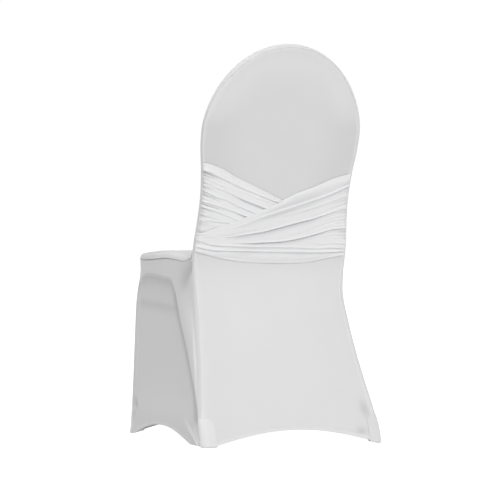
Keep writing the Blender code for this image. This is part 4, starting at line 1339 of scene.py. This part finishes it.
def minor_folds(across, height, rows, count, seed):
    """Faint long creases between the main ones, each along a row of the grid for some way."""
    chance = np.random.default_rng(seed)
    lift = np.zeros_like(height)
    for _ in range(count):
        row = chance.uniform(rows[0], rows[-1])
        centre, half = chance.uniform(-0.17, 0.17), chance.uniform(0.03, 0.08)
        drift, wide = chance.uniform(-0.05, 0.05), chance.uniform(0.0012, 0.0024)
        depth = chance.uniform(0.0004, 0.0016)
        line = along_row(row, rows, height) + drift * (across - centre)
        fade = np.clip(1.0 - np.abs(across - centre) / half, 0.0, 1.0)
        lift -= depth * fade * np.exp(-np.abs(height - line) / wide)
    return lift


# %% Sash grids
# Painted shade in the sashes' creases and painted light on their crests.
FOLD_SHADE, FOLD_LIGHT, SASH_COLUMNS = 0.60, 0.30, 120
CREST_AT_SEAM, CREST, SEAM_REACH = 0.0040, 0.0062, 0.012   # height of the folds, and its rise
SEWN_END = 0.0035        # a band rises from its side seam over this length


def sash_rows(steps):
    """Row numbers from line to line, closer together near each line."""
    rows = []
    for k, count in enumerate(steps):
        share = np.linspace(0.0, 1.0, count + 1)[:-1]
        rows.append(k + mix(share, 0.5 - 0.5 * np.cos(np.pi * share), 0.7))
    return np.concatenate(rows + [[float(len(steps))]])


def heights_at(lines, across):
    return np.array([line_height(line, places) for line, places in zip(lines, across)])


def sash_grid(lines, steps):
    """Rows, and for each point its place across the back, height and distance from both seams."""
    rows = sash_rows(steps)
    upper = np.clip(rows.astype(int), 0, len(lines) - 2)
    share = (rows - upper)[:, None]
    row_lines = mix(lines[upper], lines[upper + 1], share)
    ends = []
    for which in (0, 1):
        place = np.full((len(rows), 1), PLACES[-1 - which * (len(PLACES) - 1)])
        for _ in range(5):
            place = seam_places(heights_at(row_lines, place)[:, 0])[which]
        ends.append(place)
    steps_in = np.concatenate([SEAM_STEPS, [0.0140, 0.0162, 0.0186, 0.0212]])
    across, from_left, from_right = across_back(*ends, steps_in, SASH_COLUMNS)
    return rows, across, heights_at(row_lines, across), from_left, from_right


def edge_rise(distance, width):
    return np.sqrt(np.clip(distance / width, 0.0, 1.0))


def top_edge(distance):
    """A band's upper edge is thin, with a small roll, and swells to the first fold below it."""
    return 0.38 * edge_rise(distance, 0.0030) + 0.62 * ease(distance / 0.016)


def not_through(lift):
    """Where creases add up, the band still doesn't sink through what lies below it."""
    return np.maximum(lift, 0.0001 + 0.1 * lift)


def fold_painted_shade(lift, crest, from_edge):
    """Painted shade in deep creases and painted light on the crests, beyond what these folds throw."""
    low = np.clip(1.0 - lift / crest, 0.0, 1.0) * ease(from_edge / 0.008)
    return FOLD_SHADE * low ** 1.2 - FOLD_LIGHT * (1.0 - low)


# %% [markdown]
# ## Under sash
# It shows only at the upper left. Where the over sash crosses it, its folds are pressed flat.

# %% Under sash
def under_sash_grid():
    steps = (24, 24, 26, 22, 18, 26, 10)
    rows, across, height, from_left, from_right = sash_grid(UNDER_LINES, steps)
    from_top = line_height(UNDER_LINES[0], across) - height
    seam = ease(np.minimum(from_left, from_right) / SEAM_REACH)
    crest = mix(CREST_AT_SEAM, CREST, seam) * mix(1.0, 0.85, hump(from_top - 0.0065, 0.003))
    lift, tones = pressed(UNDER_CREASES, crest * top_edge(from_top), across, height, seam)
    lift = lift + minor_folds(across, height, rows, 34, 51)
    lift = lift + gathers(from_left, height, rows, (0.470, 0.645), FINE, 52)
    lift = lift + gathers(from_left, height, rows, (0.470, 0.640), COARSE, 53)
    lift = not_through(lift)
    over_edge = line_height(OVER_LINES[0], across)
    shown = ease((height - over_edge + 0.0090) / 0.0080)
    shown = shown * edge_rise(np.minimum(from_left, from_right), SEWN_END)
    # Painted shade in the creases and painted light on the crests.
    backing_and_painted_shade = fold_painted_shade(lift, crest, from_top) + tones * ease(from_top / 0.004)
    return on_back(across, height, LAYER_GAP + SASH_CLOTH + lift * shown), backing_and_painted_shade


grid, backing_and_painted_shade = under_sash_grid()
sash_under = cloth("sash_under", grid, "sash_knit", outward=False, backing_and_painted_shade=backing_and_painted_shade)

# %% [markdown]
# ## Over sash
# Its upper edge is rolled and stands proud, so that it catches the light and shades the folds of
# the under sash that run in beneath it.

# %% Over sash
EDGE_GAP = 0.0003
OVER_BASE = 2.0 * LAYER_GAP + SASH_CLOTH + 0.0004
HOLLOW_SHADE, SASH_FOOT_PAINTED_LIGHT = 0.24, 0.95     # painted shade between the top roll and the first fold, painted light at the foot
HOLLOW_FROM, HOLLOW_SHALLOW, HOLLOW_DEEPER = 0.005, 0.08, 0.14
ROLL_SHARE = 0.80
MIDDLE_HALF, MIDDLE_FADE = 0.075, 0.070        # in the middle the foot is thinner than at its ends
FOOT_THIN, FOOT_FULLER, FOOT_FADE = 0.60, 0.80, 0.012


def over_sash_grid():
    steps = (26, 26, 26, 40, 36, 16, 22)
    rows, across, height, from_left, from_right = sash_grid(OVER_LINES, steps)
    from_top = line_height(OVER_LINES[0], across) - height
    from_foot = height - line_height(OVER_LINES[-1], across)
    seam = ease(np.minimum(from_left, from_right) / SEAM_REACH)
    crest = mix(CREST_AT_SEAM, CREST, seam) * mix(0.55, 1.0, ease(from_foot / 0.022))
    covered = ease((line_height(UNDER_LINES[0], across) - height + 0.004) / 0.010)
    covered = covered * ease((height - line_height(UNDER_LINES[-1], across) + 0.004) / 0.010)
    rolled = mix(top_edge(from_top), 1.0, ROLL_SHARE * covered)
    at_ends = ease((np.abs(across) - MIDDLE_HALF) / MIDDLE_FADE)
    foot = mix(mix(FOOT_THIN, FOOT_FULLER, ease(from_foot / FOOT_FADE)), 1.0, at_ends)
    foot = edge_rise(from_foot, 0.0030) * foot
    to_fold = height - profile(OVER_CREASES[0][1])(across)
    hollow = ease((from_top - HOLLOW_FROM) / 0.009) * ease((to_fold - 0.0045) / 0.0055)
    hollow = hollow * ease((0.075 - across) / 0.040)
    falls = (from_top - HOLLOW_FROM) / np.maximum(from_top + to_fold - 0.009, 0.004)
    sunk = (HOLLOW_SHALLOW + HOLLOW_DEEPER * np.clip(falls, 0.0, 1.0)) * hollow
    lift = crest * rolled * foot * (1.0 - sunk)
    lift, tones = pressed(OVER_CREASES, lift, across, height, seam)
    # Painted shade in the hollow under the top roll and painted light along the foot.
    tones = tones + HOLLOW_SHADE * hollow - SASH_FOOT_PAINTED_LIGHT * hump(from_foot - 0.0042, 0.0050)
    lift = lift + minor_folds(across, height, rows, 34, 61)
    lift = lift + 0.7 * gathers(from_right, height, rows, (0.450, 0.622), FINE, 62)
    lift = lift + 0.7 * gathers(from_right, height, rows, (0.475, 0.618), COARSE, 64)
    lift = lift + gathers(from_left, height, rows, (0.458, 0.499), FINE, 63)
    lift = not_through(lift)
    sewn_down = edge_rise(np.minimum(from_left, from_right), SEWN_END)
    inside = ease(np.minimum(from_top, from_foot) / 0.014) * sewn_down
    base = mix(EDGE_GAP, OVER_BASE, np.maximum(covered, inside))
    backing_and_painted_shade = fold_painted_shade(lift, crest, np.minimum(from_top, from_foot))
    lift = base + SASH_CLOTH + lift * sewn_down
    return on_back(across, height, lift), backing_and_painted_shade + tones * ease(from_top / 0.004)


grid, backing_and_painted_shade = over_sash_grid()
sash_over = cloth("sash_over", grid, "sash_knit", outward=False, backing_and_painted_shade=backing_and_painted_shade)

# %% [markdown]
# ## How each piece was cut
# A stretch cover is cut smaller than the chair, here to about five sixths of the area that it
# covers once it is pulled on. The sash bands are cut longer and wider than they look, because they
# are drawn together in the side seams.

# %% Flat sizes
def cut(piece, flat, area, held, rests_on=(), with_pieces=()):
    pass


cut(back_panel, (0.420, 0.900), 0.300, "stretched", with_pieces=[back_stitches])
cut(inner_back, (0.370, 0.550), 0.185, "stretched", [back_panel])
cut(seat, (0.360, 0.370), 0.130, "stretched", [inner_back])
cut(front_skirt, (0.375, 0.385), 0.138, "stretched", [seat], [front_stitches])
for side, skirt in side_skirts.items():
    cut(skirt, (0.470, 0.390), 0.160, "stretched", [seat, back_panel], [side_stitches[side]])
for (where, hand), pocket in pockets.items():
    flat, area = ((0.105, 0.125), 0.0115) if where == "rear" else ((0.100, 0.115), 0.0100)
    under = [side_skirts[1 if hand == "left" else -1], back_panel if where == "rear" else front_skirt]
    cut(pocket, flat, area, "stretched", under, [pocket_stitches[where, hand]])
cut(sash_under, (0.400, 0.200), 0.070, "gathered", [back_panel])
cut(sash_over, (0.400, 0.230), 0.080, "gathered", [sash_under, back_panel])

# %% [markdown]
# ## Floor and light
# A white studio: a pale sweep under the object, a white surround, and four large soft lights. White
# cloth is only modelled by small differences in light, so the sweep and the surround are lit by
# themselves, as screens are in a studio: both look white, but throw only a dim light back.

# %% Floor
FLOOR_HALF, FLOOR_DROP = 40.0, 0.0005
WHITE = (1.0, 1.0, 1.0, 1.0)


def seen_or_lighting(material, seen, settings, links):
    """A strength that is `seen` for the camera. For the light thrown on the object it is input 2,
    given in settings or links."""
    ray = add_node(material, "ShaderNodeLightPath", {}, {}, "Is Camera Ray")
    return add_node(material, "ShaderNodeMix", {"data_type": "FLOAT", 3: seen, **settings},
                    {0: ray, **links}, 0)


def pale_floor():
    material, surface = new_material("matt_white_studio_sweep")
    set_up(material, surface,
           {"Base Color": linear("#7C7C7C"), "Roughness": 0.9, "Emission Color": WHITE},
           {"Emission Strength": seen_or_lighting(material, 1.0, {2: 0.45}, {})})
    ends = [(x * FLOOR_HALF, y * FLOOR_HALF, 0.0) for x, y in ((-1, -1), (1, -1), (1, 1), (-1, 1))]
    floor = new_piece("floor", ends, [(0, 1, 2, 3)], material)
    floor.location.z = -FLOOR_DROP


pale_floor()

# %% Light
SKY, HORIZON = 0.20, 0.40
LIGHTS = (      # where each comes from, how many degrees wide it is and how strong
    ("behind", (0.00, 0.91, 0.42), 30.0, 1.61),
    ("left", (0.87, 0.00, 0.50), 40.0, 0.89),
    ("right", (-0.97, 0.00, 0.25), 40.0, 0.62),
    ("front", (0.00, -0.50, 0.87), 40.0, 1.38),
)

world = bpy.data.worlds.new("white_surround")
world.use_nodes = True
bpy.context.scene.world = world
direction = add_node(world, "ShaderNodeTexCoord", {}, {}, "Generated")
upward = add_node(world, "ShaderNodeSeparateXYZ", {}, {"Vector": direction}, "Z")
glow = add_node(world, "ShaderNodeMapRange",
                {"From Min": 0.090, "From Max": 0.125, "To Min": HORIZON, "To Max": SKY},
                {"Value": upward}, "Result")
set_up(world, world.node_tree.nodes["Background"], {"Color": WHITE},
       {"Strength": seen_or_lighting(world, 1.02, {}, {2: glow})})

for name, comes_from, spread, strength in LIGHTS:
    light = bpy.data.lights.new(name, "SUN")
    light.angle, light.energy = math.radians(spread), strength
    new_object(name, light).rotation_euler = (-Vector(comes_from)).to_track_quat("-Z", "Y").to_euler()
bpy.context.scene.view_settings.view_transform = "Standard"
print("lights:", [light[0] for light in LIGHTS])

# %% [markdown]
# ## Camera
# The camera looks at the back of the cover from a little to its left, almost level, at about the
# seat's height. The long lens stands far off, so that the legs and the seams converge very little.

# %% Camera
EYE, AIM = Vector((2.6496, 6.3605, 0.4861)), Vector((0.02446, 0.0, 0.48262))
LENS, SENSOR = 211.79, 36.0               # millimetres

camera_data = bpy.data.cameras.new("camera")
camera_data.sensor_width, camera_data.lens = SENSOR, LENS
camera = new_object("camera", camera_data)
camera.location = EYE
camera.rotation_mode = "QUATERNION"
camera.rotation_quaternion = (AIM - EYE).to_track_quat("-Z", "Y")
bpy.context.scene.camera = camera
print("camera stands", round((AIM - EYE).length, 2), "m away")
